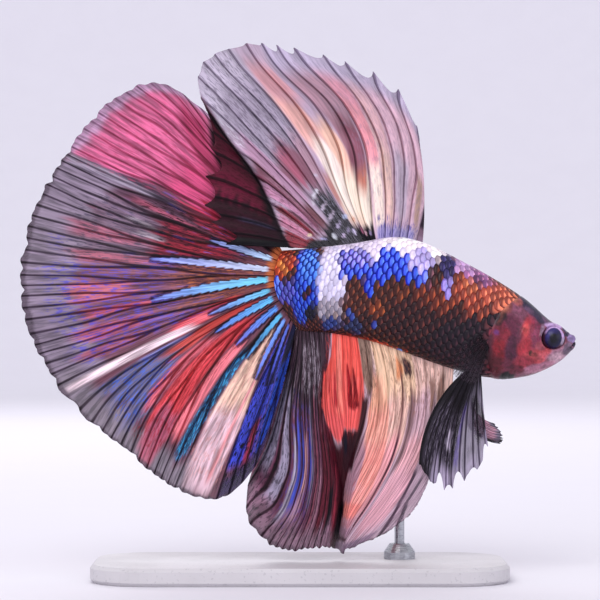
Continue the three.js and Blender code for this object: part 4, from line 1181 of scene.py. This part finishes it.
LEFT_PELVIC_STREAKS = [
    ("9F96AA", -0.2, 1.2, WIDE, 0.1, 0, 0.01),
    ("2E2534", -0.2, 0.35, WIDE, 0.2, 0.05, 0.01),
    ("E0A8BC", 0.6, 0.97, (0.16, 2), 0.08, 0.04, 0.05),
    ("1E1722", 0.2, 0.95, (-1, 0.3), (-1, 0.14), 0.08, 0.05, 0.04),
    ("8A8096", 0.92, 1.2, (0.2, 2), 0.06, 0.04, 0.05),
    ("30252F", 0.97, 1.2, WIDE, 0.03, 0, 0.01),
]
PECTORAL_STREAKS = [
    ("2B222B", -0.2, 1.2, WIDE, 0.1, 0, 0.01),
    ("4A3E4A", 0.55, 1.2, WIDE, 0.3, 0.1, 0.01),
]


def painted_fin(u, v, streaks, flecks, cells):
    """The first colour, the second and how much of the second shows, at points on a fin."""
    colour = np.zeros((len(u), 3))
    for seed, row in enumerate(streaks):
        lay_over(colour, row[0], streak_mask(u, v, row, seed, cells))
    second = colour.copy()
    amount = np.zeros(len(u))
    for seed, (row, strength) in enumerate(flecks):
        mask = streak_mask(u, v, row, seed + FLECK_SEED, cells)
        lay_over(second, row[0], mask)
        amount = np.maximum(amount * (1 - mask), mask * strength)
    return colour, second, amount


def lay_threads(colour, u, v, lane, where, dark, light, wander, patch):
    """Fine threads between the rays, dark ones and here and there a light one."""
    turn = lane * 6 * math.pi + wander[0] * mottle(u * wander[1], v * 5, 3)
    thread = np.sin(turn) + 0.5 * mottle(u * 90, v * 9, 6)
    lay_over(colour, dark[0], dark[1] * where * rise((thread - 0.05) / 0.6))
    here = rise(mottle(u * patch[0], v * patch[1], 9) / patch[2])
    lay_over(colour, light[0], light[1] * where * rise((-thread - light[2]) / 0.3) * here)


def paint_dashes(w, v, colour, rows):
    """Short marks that lie across the rays: colour, middle, half sizes, tilt."""
    for code, (middle_w, middle_v), (half_w, half_v), tilt in rows:
        across = (w - middle_w) / half_w
        out = (v - middle_v + tilt * (w - middle_w)) / half_v
        wander = 0.25 * mottle(w * 90, v * 40, middle_w * 50)
        lay_over(colour, code, rise((1.15 - np.hypot(across, out) + wander) / 0.5))


def paint_wedges(u, v, colour, amount, line):
    """Bright metallic wedges with a navy edge and saw-toothed sides."""
    for seed, (place, end, lean, half, root_code, end_code) in enumerate(TAIL_WEDGES):
        t = np.clip(v / end, 0, 1)
        teeth = 0.78 + 0.46 * ((v * 27 + 0.37 * np.sign(u - place) + seed * 0.3) % 1)
        width = half * (1 - t) ** 0.75 * teeth
        away = np.abs(u - place - lean * t)
        inside = (v > 0.012) & (v < end)
        dark = rise((width + 0.011 - away) / 0.006 + 0.5) * inside * rise((v - 0.015) / 0.03)
        lay_over(colour, WEDGE_EDGE, dark * 0.9)
        bright = rise((width - away) / 0.005 + 0.5) * inside * rise((v - 0.015) / 0.02)
        glow = tint(root_code) + (tint(end_code) - tint(root_code)) * t[:, None]
        silk = 1 + 0.12 * mottle(u * 260, v * 26, seed)
        colour += (glow * silk[:, None] - colour) * bright[:, None]
        amount *= 1 - bright
        line *= 1 - 0.9 * bright


def fin_mesh(name, surface, sheet, paint, lane_of, margin, veil):
    """A fin sheet with its margin and markings, how strongly a ray stands at each point, and how far out."""
    kept = {}

    def place(u, t):
        v = between(-FIN_SEAT / sheet["length"], 1 - margin(u), t)
        lane = lane_of(u, v)
        kept["v"], kept["lane"] = v, lane
        x, y, z = surface(u, v)
        return x, y + sheet["pleat"] * np.sin(lane * 2 * math.pi) * rise(v), z

    mesh, u = placed_grid(name, *sheet["grid"], place)
    v, lane = kept["v"], kept["lane"]
    colour, second, amount, line = paint(u, v, lane)
    keep_colour(mesh, "mark", colour)
    keep_colour(mesh, "fleck", second, amount)
    for key, value in (("lane", lane), ("out", v), ("line", line), ("veil", veil(u, v))):
        keep_value(mesh, key, value)
    return mesh, ray_strength(lane, v, sheet["fork"]), v


def thickened(piece, ray, out, thick):
    """Gives a fin its wall: full at the rays, thin between them and towards the margin."""
    group = piece.vertex_groups.new(name="wall")
    weight = np.clip(0.15 + 0.85 * ray, 0, 1) * between(1.0, 0.45, np.clip(out, 0, 1))
    level = np.round(weight * WALL_STEPS).astype(int)
    for value in np.unique(level):
        group.add(np.nonzero(level == value)[0].tolist(), float(value) / WALL_STEPS, "REPLACE")
    wall = piece.modifiers.new("wall", "SOLIDIFY")
    wall.thickness = thick
    wall.offset = 0.0
    wall.use_even_offset = False
    wall.vertex_group = "wall"
    wall.thickness_vertex_group = WALL_AT_THINNEST


def make_fin(name, surface, sheet, look, marking, ends, wall):
    """One fin: its sheet, its membrane and its wall."""
    mesh, ray, out = fin_mesh(f"{name}_fin", surface, sheet, *marking)
    piece = shown(mesh, fin_finish(f"{name}_membrane", sheet["fork"], *look), *ends)
    thickened(piece, ray, out, wall)


# ---------------------------------------------------------------- each fin's markings, margin and veil
def tail_paint(u, v, lane):
    colour, second, amount = painted_fin(u, v, TAIL_STREAKS, TAIL_FLECKS, RAGS["tail"])
    inner = window(u, 0.15, 0.04, 0.61, 0.03) * rise((v - 0.06) / 0.12) * rise((0.74 - v) / 0.26)
    lay_threads(colour, u, v, lane, inner, *TAIL_THREADS)
    line = np.ones(len(u))
    for left, right, keep in TAIL_PALE_RAYS:
        line *= 1 - (1 - keep) * rise((u - left) / 0.008) * rise((right - u) / 0.008) * rise((v - 0.2) / 0.1)
    paint_wedges(u, v, colour, amount, line)
    edge = rise((v - 0.975 + 0.006 * drift(u * 120, 2)) / 0.012)
    lay_over(colour, TAIL_MARGIN, edge * (1 - 0.6 * rise((0.25 - u) / 0.02)) * 0.8)
    return colour, second, amount, line


def tail_margin(u):
    lane = tail_lane(u, 1.0)
    lobes = 0.007 * np.abs(np.sin(lane * 2 * math.pi)) + 0.005 * np.abs(np.sin(lane * 4 * math.pi))
    return 0.01 - lobes + 0.009 * drift(u * 26, 8) + 0.006 * drift(u * 90, 3)


def tail_veil(_, v):
    return 1 - 0.2 * rise((v - 0.8) / 0.15)


def back_paint(u, v, lane):
    w = lane / BACK_RAYS
    colour, second, amount = painted_fin(w, v, BACK_STREAKS, BACK_FLECKS, RAGS["back"])
    paint_dashes(w, v, colour, BACK_DASHES)
    behind = back_fin_folded(u, v, 0.03)
    # The folded part: dark maroon, partly its own colour and partly painted shade of the fold.
    rear = np.zeros_like(colour) + tint(FOLDED["base"])
    rose = rise((v - 0.5) / 0.2) * rise((u - 0.82) / 0.05)
    lay_over(rear, FOLDED["rose"], rose * (0.6 + 0.4 * drift(u * 50, 3)))
    # Painted shade: a near-black band on the folded part just past the crease, where the sheet turns away.
    shadow = follow(BACK_FIN_CREASE, u) + 0.07 + 0.03 * drift(u * 60, 6)
    lay_over(rear, FOLDED["crease_shade"], rise((shadow - v) / 0.07 + 0.5))
    ray = bump_at(u - 0.945, 0.004) * rise((v - 0.35) / 0.1) * rise((0.75 - v) / 0.1)
    lay_over(rear, FOLDED["ray"], ray)
    lay_over(rear, FOLDED["rear"], 0.85 * rise((u - 0.895 + 0.02 * drift(v * 30, 4)) / 0.03))
    lay_over(rear, FOLDED["end"], rise((u - 0.975) / 0.012))
    colour += (rear - colour) * behind[:, None]
    second += (rear * 0.4 - second) * behind[:, None]
    line = 1 - 0.5 * bump_at(v - 0.1, 0.2) * rise((w - 0.42) / 0.05)
    return colour, second, np.maximum(amount * (1 - behind), behind * 0.6), line


def back_margin(u):
    w = back_lane(u, 1.0) / BACK_RAYS
    spike = np.interp(w, BACK_REAR_SPIKES, range(len(BACK_REAR_SPIKES)))
    cell = np.where(w < BACK_REAR_SPIKES[0], w * BACK_RAYS, spike)
    hollow = np.abs(np.sin(math.pi * cell)) ** 0.8
    return follow(BACK_HOLLOWS, w) * hollow + 0.003 + 0.004 * drift(u * 70, 5)


def back_veil(u, v):
    behind = back_fin_folded(u, v, 0.03)
    glow = window(u, 0.22, 0.06, 0.56, 0.05) * rise((0.7 - v) / 0.2)
    return np.maximum(np.maximum(0.78 - 0.12 * rise((v - 0.7) / 0.3), glow), behind)


def belly_paint(u, v, lane):
    w = lane / BELLY_RAYS
    colour, second, amount = painted_fin(w, v, BELLY_STREAKS, BELLY_FLECKS, RAGS["belly"])
    rear = rise((follow(VALLEY_LEFT, v) - 0.05 - w) / 0.03) * rise((0.62 - v) / 0.3)
    lay_threads(colour, u, v, lane, rear, *BELLY_THREADS)
    lay_over(colour, BELLY_MARGIN, rise((v - 0.975 + 0.008 * drift(u * 90, 2)) / 0.012) * 0.6)
    squeezed = bump_at(u - 0.48, 0.045) * rise((v - 0.3) / 0.3)
    pale_front = between(1.0, 0.5, rise((u - 0.5) / 0.1))
    pale_valley = 1 - 0.5 * rise((w - 0.3) / 0.03) * rise((0.57 - w) / 0.03)
    return colour, second, amount, (1 - squeezed) * pale_front * pale_valley


def belly_margin(u):
    lobes = 0.009 * np.abs(np.sin(belly_lane(u, 1.0) * 2 * math.pi)) * rise((0.46 - u) / 0.04)
    return 0.018 - lobes + 0.014 * drift(u * 17, 8) + 0.006 * drift(u * 60, 4)


def belly_veil(u, v):
    front = rise((u - 0.78) / 0.12) * rise((v - 0.45) / 0.3)
    return 1 - 0.22 * rise((v - 0.84) / 0.14) - 0.25 * front


def dark_veil(u, v):
    return 0.97 - 0.3 * rise((u - 0.55 + 0.15 * v) / 0.25) * rise(v / 0.5)


def pale_veil(_, v):
    return 0.8 + 0.2 * rise(1 - v / 0.4)


def smoke_veil(u, v):
    return (0.1 + 0.5 * rise((u - 0.2) / 0.7)) * (1 - 0.6 * rise(v / 1.1)) + 0.3 * rise(1 - v / 0.25)


# The paired fins: markings, second colour with its strength, number of rays, veil, notches and length in mm.
GREY_DASHES = [(("8A8093", 0.35, 1, (0.1, 0.95), 0.2, 0.1, 0.05), 0.45)]
VIOLET_DASHES = [(("6E6490", 0.1, 0.9, (0.15, 1), 0.2, 0.05, 0.05), 0.5)]
SMOKE_DASHES = [(("0C090E", 0, 1, (0, 1), 0.2, 0.05, 0.05), 0.6)]
RIGHT_PELVIC = (RIGHT_PELVIC_STREAKS, GREY_DASHES, 6, dark_veil, 0.16, 15)
LEFT_PELVIC = (LEFT_PELVIC_STREAKS, VIOLET_DASHES, 5, pale_veil, 0.05, 11)
PECTORAL = (PECTORAL_STREAKS, SMOKE_DASHES, 8, smoke_veil, 0.04, 7)


# ---------------------------------------------------------------- settings shown in the sidebar
class BettaSizes(bpy.types.PropertyGroup):
    scale_rows: IntProperty(
        name="Scale rows", description="Rows of scales on each flank", default=13, min=6, max=20
    )
    scale_lift: FloatProperty(
        name="Scale lift",
        description="How far a scale's free edge stands off the skin",
        default=0.11 * MM,
        unit="LENGTH",
    )
    fin_wall: FloatProperty(
        name="Fin wall", description="Thickness of a fin at its rays", default=0.42 * MM, unit="LENGTH"
    )
    camera_distance: FloatProperty(
        name="Camera distance", description="From the middle plane of the fish", default=0.42, unit="LENGTH"
    )
    lens: FloatProperty(name="Lens", description="Focal length in mm", default=180.0)


class BettaColours(bpy.types.PropertyGroup):
    floor: FloatVectorProperty(
        name="Floor", description="Colour of the studio floor", default=(0.93, 0.91, 0.97), subtype="COLOR"
    )
    sky: FloatVectorProperty(
        name="Room light",
        description="Colour of the light all round",
        default=(0.93, 0.92, 1.0),
        subtype="COLOR",
    )
    plate: FloatVectorProperty(
        name="Plate", description="Colour of the stand's plate", default=(0.62, 0.6, 0.62), subtype="COLOR"
    )


# ---------------------------------------------------------------- operators
# The stage, in metres: each light's name, place, size, power and colour, and where they all point.
LIGHTS = [
    ("key", (-0.16, -0.5, 0.46), 0.42, 1.9, (1.0, 0.98, 0.97)),
    ("fill", (0.5, -0.42, 0.16), 0.4, 0.5, (0.95, 0.95, 1.0)),
    ("back", (-0.1, 0.5, 0.4), 0.4, 1.0, (1.0, 0.97, 1.0)),
]
LIGHT_AIM = Vector((0, 0, 0.04))
ROOM_LIGHT = 0.85
CAMERA_LIFT = 0.0015
FLOOR_RINGS = (0, 0.2, 0.6, 1.0)
FLOOR_COVE = 0.5
FLOOR_COVE_STEPS = 14
FLOOR_SIDES = 96
FLOOR_SHADE = 0.83
FLOOR_SPECK = (0.7, 0.67, 0.74, 1)


class BETTA_OT_stage(bpy.types.Operator):
    """Camera, soft lights and a pale round floor"""

    bl_idname = "betta.stage"
    bl_label = "Stage"

    def execute(self, context):
        scene, sizes = context.scene, context.scene.betta_sizes
        low, high = box_at_load
        lens = bpy.data.cameras.new("camera")
        lens.lens = sizes.lens
        scene.camera = bpy.data.objects.new("camera", lens)
        scene.camera.location = (0, -sizes.camera_distance, (low.z + high.z) / 2 + CAMERA_LIFT)
        scene.camera.rotation_euler = (math.pi / 2, 0, 0)
        scene.collection.objects.link(scene.camera)
        self.floor(scene)
        for row in LIGHTS:
            self.light(scene, *row)
        scene.world = bpy.data.worlds.new("room")
        scene.world.use_nodes = True
        background = scene.world.node_tree.nodes["Background"]
        background.inputs["Color"].default_value = (*scene.betta_colours.sky, 1)
        background.inputs["Strength"].default_value = ROOM_LIGHT
        scene.view_settings.view_transform = "Standard"
        return {"FINISHED"}

    def light(self, scene, name, place, size, power, colour):
        lamp = bpy.data.lights.new(name, "AREA")
        lamp.shape = "DISK"
        lamp.size = size
        lamp.energy = power
        lamp.color = colour
        holder = bpy.data.objects.new(name, lamp)
        holder.location = place
        holder.rotation_euler = (LIGHT_AIM - Vector(place)).to_track_quat("-Z", "Y").to_euler()
        scene.collection.objects.link(holder)

    def floor(self, scene):
        """A round floor that sweeps up into its own wall."""
        bm = bmesh.new()
        line = [(radius, 0, 0) for radius in FLOOR_RINGS]
        for i in range(1, FLOOR_COVE_STEPS + 1):
            angle = math.pi / 2 * i / FLOOR_COVE_STEPS
            out = FLOOR_RINGS[-1] + FLOOR_COVE * math.sin(angle)
            line.append((out, 0, FLOOR_COVE - FLOOR_COVE * math.cos(angle)))
        rows = [bm.verts.new(place) for place in line]
        edges = [bm.edges.new(pair) for pair in zip(rows, rows[1:])]
        about = {"cent": (0, 0, 0), "axis": (0, 0, 1), "angle": 2 * math.pi}
        bmesh.ops.spin(bm, geom=rows + edges, steps=FLOOR_SIDES, use_merge=True, **about)
        bmesh.ops.remove_doubles(bm, verts=bm.verts, dist=1e-5)
        bmesh.ops.recalc_face_normals(bm, faces=bm.faces)
        mesh = made(bm, "studio_floor")
        mesh.polygons.foreach_set("use_smooth", [True] * len(mesh.polygons))
        f = Finish("studio_paper", 0.8)
        place = f.on_object()
        away = f.add("ShaderNodeVectorMath", operation="LENGTH")
        f.join(place, away.inputs[0])
        colour = tuple(scene.betta_colours.floor)
        near = tuple(c * FLOOR_SHADE for c in colour)
        sweep = f.mix(f.step(away.outputs["Value"], 0.1, 1.1), (*near, 1), (*colour, 1))
        f.colour(f.mix(f.step(f.noise(place, 60.0), *NOISE_RANGE, 0.0, 0.05), sweep, FLOOR_SPECK))
        mesh.materials.append(f.material)
        floor = bpy.data.objects.new("studio_floor", mesh)
        scene.collection.objects.link(floor)


class BETTA_OT_skin(bpy.types.Operator):
    """One skin over the head, trunk and tail stalk, with the head's folds"""

    bl_idname = "betta.skin"
    bl_label = "Skin"

    def execute(self, context):
        (trunk_rows, trunk), (head_rows, head) = TRUNK_SHARE, HEAD_SHARE
        kept = {}

        def along_of(q):
            """Rows lie closer together towards the nose."""
            nearer = np.sin((q - trunk_rows) / head_rows * math.pi / 2)
            return np.where(q < trunk_rows, q / trunk_rows * trunk, trunk + head * nearer)

        def place(u, q):
            along, around = along_of(q), u * 2 * math.pi - math.pi / 2
            x, y, z = body_point(along, around)
            normal = body_normal(along, around)
            face = rise((x - gill_line(z)) / 0.6 + 0.5)
            folds = head_relief(x, z) * np.clip(np.abs(y) / 0.25, 0, 1)
            high = folds - SKIN_DEPTH * (1 - face) - FACE_DEPTH * face
            high = np.where(q >= 0.9999, 0, high) * rise((1.0 - q) / 0.004)
            kept["at"] = (x, y, z)
            sideways = y + normal[:, 1] * high
            on_seam = (q <= 0.0) | (q >= 1.0)
            return x + normal[:, 0] * high, np.where(on_seam, 0, sideways), z + normal[:, 2] * high

        mesh, _ = placed_grid("fish_skin", *SKIN_GRID, place)
        x, y, z = kept["at"]
        colour = body_colour(x, y, z)
        keep_colour(mesh, "mark", colour)
        keep_colour(mesh, "fleck", colour * 0.45, between(0.35, 0.6, rise((x - gill_line(z)) / 0.5)))
        faced_outward(mesh, SKIN_WELD)
        nodes = ["trunk", "tail_stalk", "head", "lower_jaw", "gill_cover_right", "gill_cover_left"]
        shown(mesh, skin_finish(), "scaled_skin", *nodes)
        return {"FINISHED"}


class BETTA_OT_scales(bpy.types.Operator):
    """Overlapping scales in staggered rows, free edge towards the tail"""

    bl_idname = "betta.scales"
    bl_label = "Scales"

    def execute(self, context):
        sizes = context.scene.betta_sizes
        finish = scale_finish()
        for name, side in (("scales_right", -1), ("scales_left", 1)):
            self.coat(name, self.lattice(sizes.scale_rows, side), sizes.scale_lift / MM, finish)
        return {"FINISHED"}

    def plate(self):
        """One scale: a small domed plate with a wall, on a square from -1 to 1."""
        bm = bmesh.new()
        bmesh.ops.create_grid(bm, x_segments=4, y_segments=4, size=1)
        for vert in bm.verts:
            a, b = vert.co.x, vert.co.y
            vert.co.x = a * (1 - (0.26 if a > 0 else 0.4) * b * b)
            vert.co.y = b * (1 - (0.12 if a > 0 else 0.3) * a * a)
        bmesh.ops.solidify(bm, geom=bm.faces[:], thickness=0.12)
        return made(bm, "plate")

    def coat(self, name, spots, lift, finish):
        """All the scales of one flank as one piece."""
        plate = self.plate()
        local = points_of(plate)
        count = len(local)
        bm = bmesh.new()
        for _ in spots:
            bm.from_mesh(plate)
        mesh = made(bm, name)
        bpy.data.meshes.remove(plate)
        along, around, half_long, half_turn, size = np.repeat(np.array(spots), count, axis=0).T
        turn = np.repeat(scatter(np.arange(len(spots)), 4) - 0.5, count)
        shape = np.tile(local, (len(spots), 1))
        a, b, h = shape[:, 0], shape[:, 1], shape[:, 2]
        rim = np.clip(np.hypot(a, b), 0, 1)
        place_along = np.clip(along - a * half_long + 0.0004 * turn * b, 0.0, 0.93)
        place_around = around + b * half_turn
        x, y, z = body_point(place_along, place_around)
        normal = body_normal(place_along, place_around)
        dome = SCALE_DOME * (1 - rim**2)
        high = -SKIN_DEPTH + lift * (0.5 + 0.5 * a) * size + dome * size
        high = high + h * 0.3 + 0.012 * turn - 0.05 * (1 - size)
        put_points(mesh, x + normal[:, 0] * high, y + normal[:, 1] * high, z + normal[:, 2] * high)
        self.paint(mesh, spots, count)
        root_u = ((around + math.pi / 2) / (2 * math.pi)) % 1.0
        keep_map(mesh, "OFBake", [np.clip(root_u + a * 0.0015, 0, 1), np.clip(along + b * 0.0015, 0, 1)])
        keep_map(mesh, "plate", [a, b])
        faced_outward(mesh)
        shown(mesh, finish, "scaled_skin")

    def lattice(self, rows, side):
        """Places of the scales of one flank: along, around, half length, half turn and size."""
        spots = []
        column, along = 0, SCALES_FROM
        while along < SCALES_TO:
            side_height = follow(BACK, along) - follow(BELLY, along) + 0.6 * follow(HALF_WIDTH, along)
            pitch = SCALE_PITCH * float(side_height) / rows / STANDARD_LENGTH
            for row in range(rows + 1):
                share = (row + (0.5 if column % 2 else 0.0)) / rows
                # The far flank leaves the shared rows on the back and the belly to the near one.
                if share > 1.0 or (side > 0 and share in (0.0, 1.0)):
                    continue
                around = math.pi / 2 - side * math.pi * share
                size = self.size(along, around)
                if size:
                    half_turn = math.pi / rows * SCALE_WIDTH
                    spots.append((along, around, pitch * SCALE_OVERLAP * size, half_turn * size, size))
            along += pitch
            column += 1
        return spots

    def size(self, along, around):
        """Scales shrink towards the face; the gill covers and the face carry none."""
        x, _, z = (value[0] for value in body_point(np.array([along]), np.array([around])))
        past_gill = x - gill_line(z)
        if past_gill >= 0.55 and z <= nape_line(x):
            return 0
        return 1 - 0.45 * float(rise((past_gill + 0.9) / 1.4))

    def paint(self, mesh, spots, count):
        along, around = np.array(spots)[:, :2].T
        x, y, z = body_point(along, around)
        colour = body_colour(x, y, z)
        colour *= (0.78 + 0.46 * scatter(np.arange(len(spots)), 7))[:, None]
        blue = np.clip((colour[:, 2] - colour[:, 0]) * 2.2, 0, 1)
        pale = np.clip(colour.min(axis=1) * 2 - 0.3, 0, 1)
        warm = np.clip(1 - blue - pale, 0, 1)
        keep_colour(mesh, "mark", np.repeat(np.clip(colour, 0, 1), count, axis=0))
        keep_colour(mesh, "kind", np.repeat(np.stack([blue, pale, warm], -1), count, axis=0))


class BETTA_OT_eyes(bpy.types.Operator):
    """Both eyes, each with a pupil, a dark iris and a lavender ring"""

    bl_idname = "betta.eyes"
    bl_label = "Eyes"

    def execute(self, context):
        for side, sign in (("right", -1), ("left", 1)):
            bm = bmesh.new()
            bmesh.ops.create_uvsphere(bm, u_segments=64, v_segments=40, radius=1)
            mesh = made(bm, f"eyeball_{side}")
            ball = points_of(mesh)
            # The poles of the sphere face sideways.
            across, outward, up = ball[:, 0], ball[:, 2], ball[:, 1]
            off_axis = np.hypot(across, up)
            lens = 0.07 * rise((0.5 - off_axis) / 0.5) - 0.05 * bump_at(off_axis - 0.84, 0.05)
            x = EYE["x"] + EYE["radius"] * across
            z = EYE["z"] + EYE["radius"] * up
            y = sign * (EYE["y"] + outward * (EYE["depth"] - 0.04) + np.where(outward > 0, lens, 0) * 0.6)
            put_points(mesh, x, y, z)
            keep_colour(mesh, "mark", self.paint(across, up))
            faced_outward(mesh, EYE_WELD)
            shown(mesh, eye_finish(f"wet_eye_{side}"), "eye", f"eye_{side}")
        return {"FINISHED"}

    def paint(self, across, up):
        """A tall dark disc, a lavender crescent over its top and front, brown behind and below."""
        turn = np.arctan2(up, across)
        disc = np.hypot(across * EYE["radius"] / IRIS[0], up * EYE["radius"] / IRIS[1])
        colour = np.zeros((len(across), 3)) + tint(EYE_TONES["behind"])
        lay_over(colour, EYE_TONES["front"], rise((np.cos(turn - 0.25) - 0.6) / 0.3) * 0.8)
        lay_over(colour, EYE_TONES["crescent"], rise((np.sin(turn + 0.1) - 0.05) / 0.5))
        iris = rise((1 - disc) / 0.07 + 0.5)
        lay_over(colour, EYE_TONES["iris"], iris)
        sheen = rise((np.sin(turn - 0.9) + 0.2) / 1.2) * rise((disc - 0.2) / 0.5)
        lay_over(colour, EYE_TONES["sheen"], iris * sheen * 0.7)
        silk = 0.5 + 0.5 * np.sin(turn * 34 + 2 * np.sin(turn * 5))
        lay_over(colour, EYE_TONES["threads"], iris * silk * rise((disc - 0.6) / 0.3) * 0.5)
        lay_over(colour, EYE_TONES["pupil"], rise((0.45 - disc) / 0.2 + 0.5))
        return colour


class BETTA_OT_tail_fin(bpy.types.Operator):
    """The fan of the tail"""

    bl_idname = "betta.tail_fin"
    bl_label = "Tail Fin"

    def execute(self, context):
        surface = fin_surface(TAIL_GUIDES, TAIL_CENTRE, tail_root, tail_sway)
        marking = (tail_paint, tail_lane, tail_margin, tail_veil)
        wall = context.scene.betta_sizes.fin_wall
        make_fin("tail", surface, TAIL_SHEET, TAIL_LOOK, marking, ("tail_fin", "caudal_fin"), wall)
        return {"FINISHED"}


class BETTA_OT_back_fin(bpy.types.Operator):
    """The tall fin on the back, folded once behind"""

    bl_idname = "betta.back_fin"
    bl_label = "Back Fin"

    def execute(self, context):
        surface = fin_surface(BACK_FIN_GUIDES, BACK_CENTRE, back_root, back_sway)
        marking = (back_paint, back_lane, back_margin, back_veil)
        wall = context.scene.betta_sizes.fin_wall
        make_fin("back", surface, BACK_SHEET, BACK_LOOK, marking, ("back_fin", "dorsal_fin"), wall)
        return {"FINISHED"}


class BETTA_OT_belly_fin(bpy.types.Operator):
    """The long fin under the belly, with its folded red valley"""

    bl_idname = "betta.belly_fin"
    bl_label = "Belly Fin"

    def execute(self, context):
        surface = fin_surface(BELLY_FIN_GUIDES, BELLY_CENTRE, belly_root, belly_sway)
        marking = (belly_paint, belly_lane, belly_margin, belly_veil)
        wall = context.scene.betta_sizes.fin_wall
        make_fin("belly", surface, BELLY_SHEET, BELLY_LOOK, marking, ("belly_fin", "anal_fin"), wall)
        return {"FINISHED"}


class BETTA_OT_paired_fins(bpy.types.Operator):
    """Pelvic and pectoral fins of both sides"""

    bl_idname = "betta.paired_fins"
    bl_label = "Paired Fins"

    def execute(self, context):
        wall = context.scene.betta_sizes.fin_wall * SMALL_FIN_WALL
        right = fin_surface(RIGHT_PELVIC_GUIDES, PELVIC_CENTRE, pelvic_root("right"), right_pelvic_sway)
        left = fin_surface(LEFT_PELVIC_GUIDES, PELVIC_CENTRE, pelvic_root("left"), left_pelvic_sway)
        self.fin("pelvic_right", RIGHT_PELVIC, right, ("dark_fin", "pelvic_fin_right"), wall)
        self.fin("pelvic_left", LEFT_PELVIC, left, ("pale_fin", "pelvic_fin_left"), wall)
        for side, sign in (("right", -1), ("left", 1)):
            ends = ("dark_fin", f"pectoral_fin_{side}")
            self.fin(f"pectoral_{side}", PECTORAL, pectoral_surface(sign), ends, wall)
        return {"FINISHED"}

    def fin(self, name, kind, surface, ends, wall):
        streaks, dashes, rays, veil, notch, length = kind

        def paint(u, v, _):
            return (*painted_fin(u, v, streaks, dashes, RAGS["paired"]), np.ones(len(u)))

        def lane_of(u, v):
            return u * rays + 0.08 * mottle(u * 4, v * 3, rays)

        def margin(u):
            place = u * rays * 1.5 + 0.6 * drift(u * 5, 9)
            hollow = np.abs(np.sin(math.pi * place)) ** 0.7
            ragged = 0.03 * np.clip(drift(u * 17, 4), -0.2, 1)
            return notch * scatter(np.floor(place), 3) ** 2 * hollow + ragged

        sheet = {**SMALL_SHEET, "length": length}
        make_fin(name, surface, sheet, SMALL_LOOK, (paint, lane_of, margin, veil), ends, wall)


class BETTA_OT_stand_finish(bpy.types.Operator):
    """Cast plate and brushed metal of the stand"""

    bl_idname = "betta.stand_finish"
    bl_label = "Stand Finish"

    def execute(self, context):
        cast, metal = self.cast(context.scene.betta_colours.plate), self.metal()
        for node, finish in (("stand_base", cast), ("stand_rod", metal), ("stand_collar", metal)):
            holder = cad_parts[node]
            holder.data.materials.clear()
            holder.data.materials.append(finish)
        return {"FINISHED"}

    def cast(self, colour):
        f = Finish("cast_plate", 0.5)
        place = f.on_object()
        specks = f.step(f.noise(place, 2200.0, 2.0), 0.62, 0.68)
        cloud = f.step(f.noise(place, 90.0, 4.0), *NOISE_RANGE)
        stone = f.mix(cloud, (*colour, 1), (*(c * 0.9 for c in colour), 1))
        f.colour(f.mix(f.times(specks, 0.3), stone, CAST_SPECK))
        f.relief(f.noise(place, 1400.0, 4.0), 0.15, 0.00006)
        f.feed("Roughness", f.step(cloud, 0.0, 1.0, 0.42, 0.56))
        return f.material

    def metal(self):
        f = Finish("brushed_rod", 0.3)
        brush = f.noise(f.on_object(BRUSHED), 1.0, 4.0)
        f.colour(f.mix(f.step(brush, *NOISE_RANGE), *METAL_TONES))
        f.gloss(brush, 0.24, 0.4)
        f.relief(brush, 0.1, 0.00003)
        f.set(Metallic=1.0)
        return f.material


class BETTA_PT_panel(bpy.types.Panel):
    bl_idname = "BETTA_PT_panel"
    bl_label = "Betta Display Model"
    bl_space_type = "VIEW_3D"
    bl_region_type = "UI"
    bl_category = "Betta"

    def draw(self, context):
        layout = self.layout
        for group in (context.scene.betta_sizes, context.scene.betta_colours):
            column = layout.column()
            for key in group.bl_rna.properties.keys():
                if key not in {"rna_type", "name"}:
                    column.prop(group, key)
        for piece in PIECES:
            layout.operator(piece.bl_idname)


PIECES = (
    BETTA_OT_stage,
    BETTA_OT_skin,
    BETTA_OT_scales,
    BETTA_OT_eyes,
    BETTA_OT_tail_fin,
    BETTA_OT_back_fin,
    BETTA_OT_belly_fin,
    BETTA_OT_paired_fins,
    BETTA_OT_stand_finish,
)
CLASSES = (BettaSizes, BettaColours, *PIECES, BETTA_PT_panel)


def register():
    for cls in CLASSES:
        bpy.utils.register_class(cls)
    bpy.types.Scene.betta_sizes = PointerProperty(type=BettaSizes)
    bpy.types.Scene.betta_colours = PointerProperty(type=BettaColours)


def unregister():
    del bpy.types.Scene.betta_colours
    del bpy.types.Scene.betta_sizes
    for cls in reversed(CLASSES):
        bpy.utils.unregister_class(cls)


def main():
    register()
    bpy.ops.betta.stage()
    bpy.ops.betta.skin()
    bpy.ops.betta.scales()
    bpy.ops.betta.eyes()
    bpy.ops.betta.tail_fin()
    bpy.ops.betta.back_fin()
    bpy.ops.betta.belly_fin()
    bpy.ops.betta.paired_fins()
    bpy.ops.betta.stand_finish()


if __name__ == "__main__":
    main()
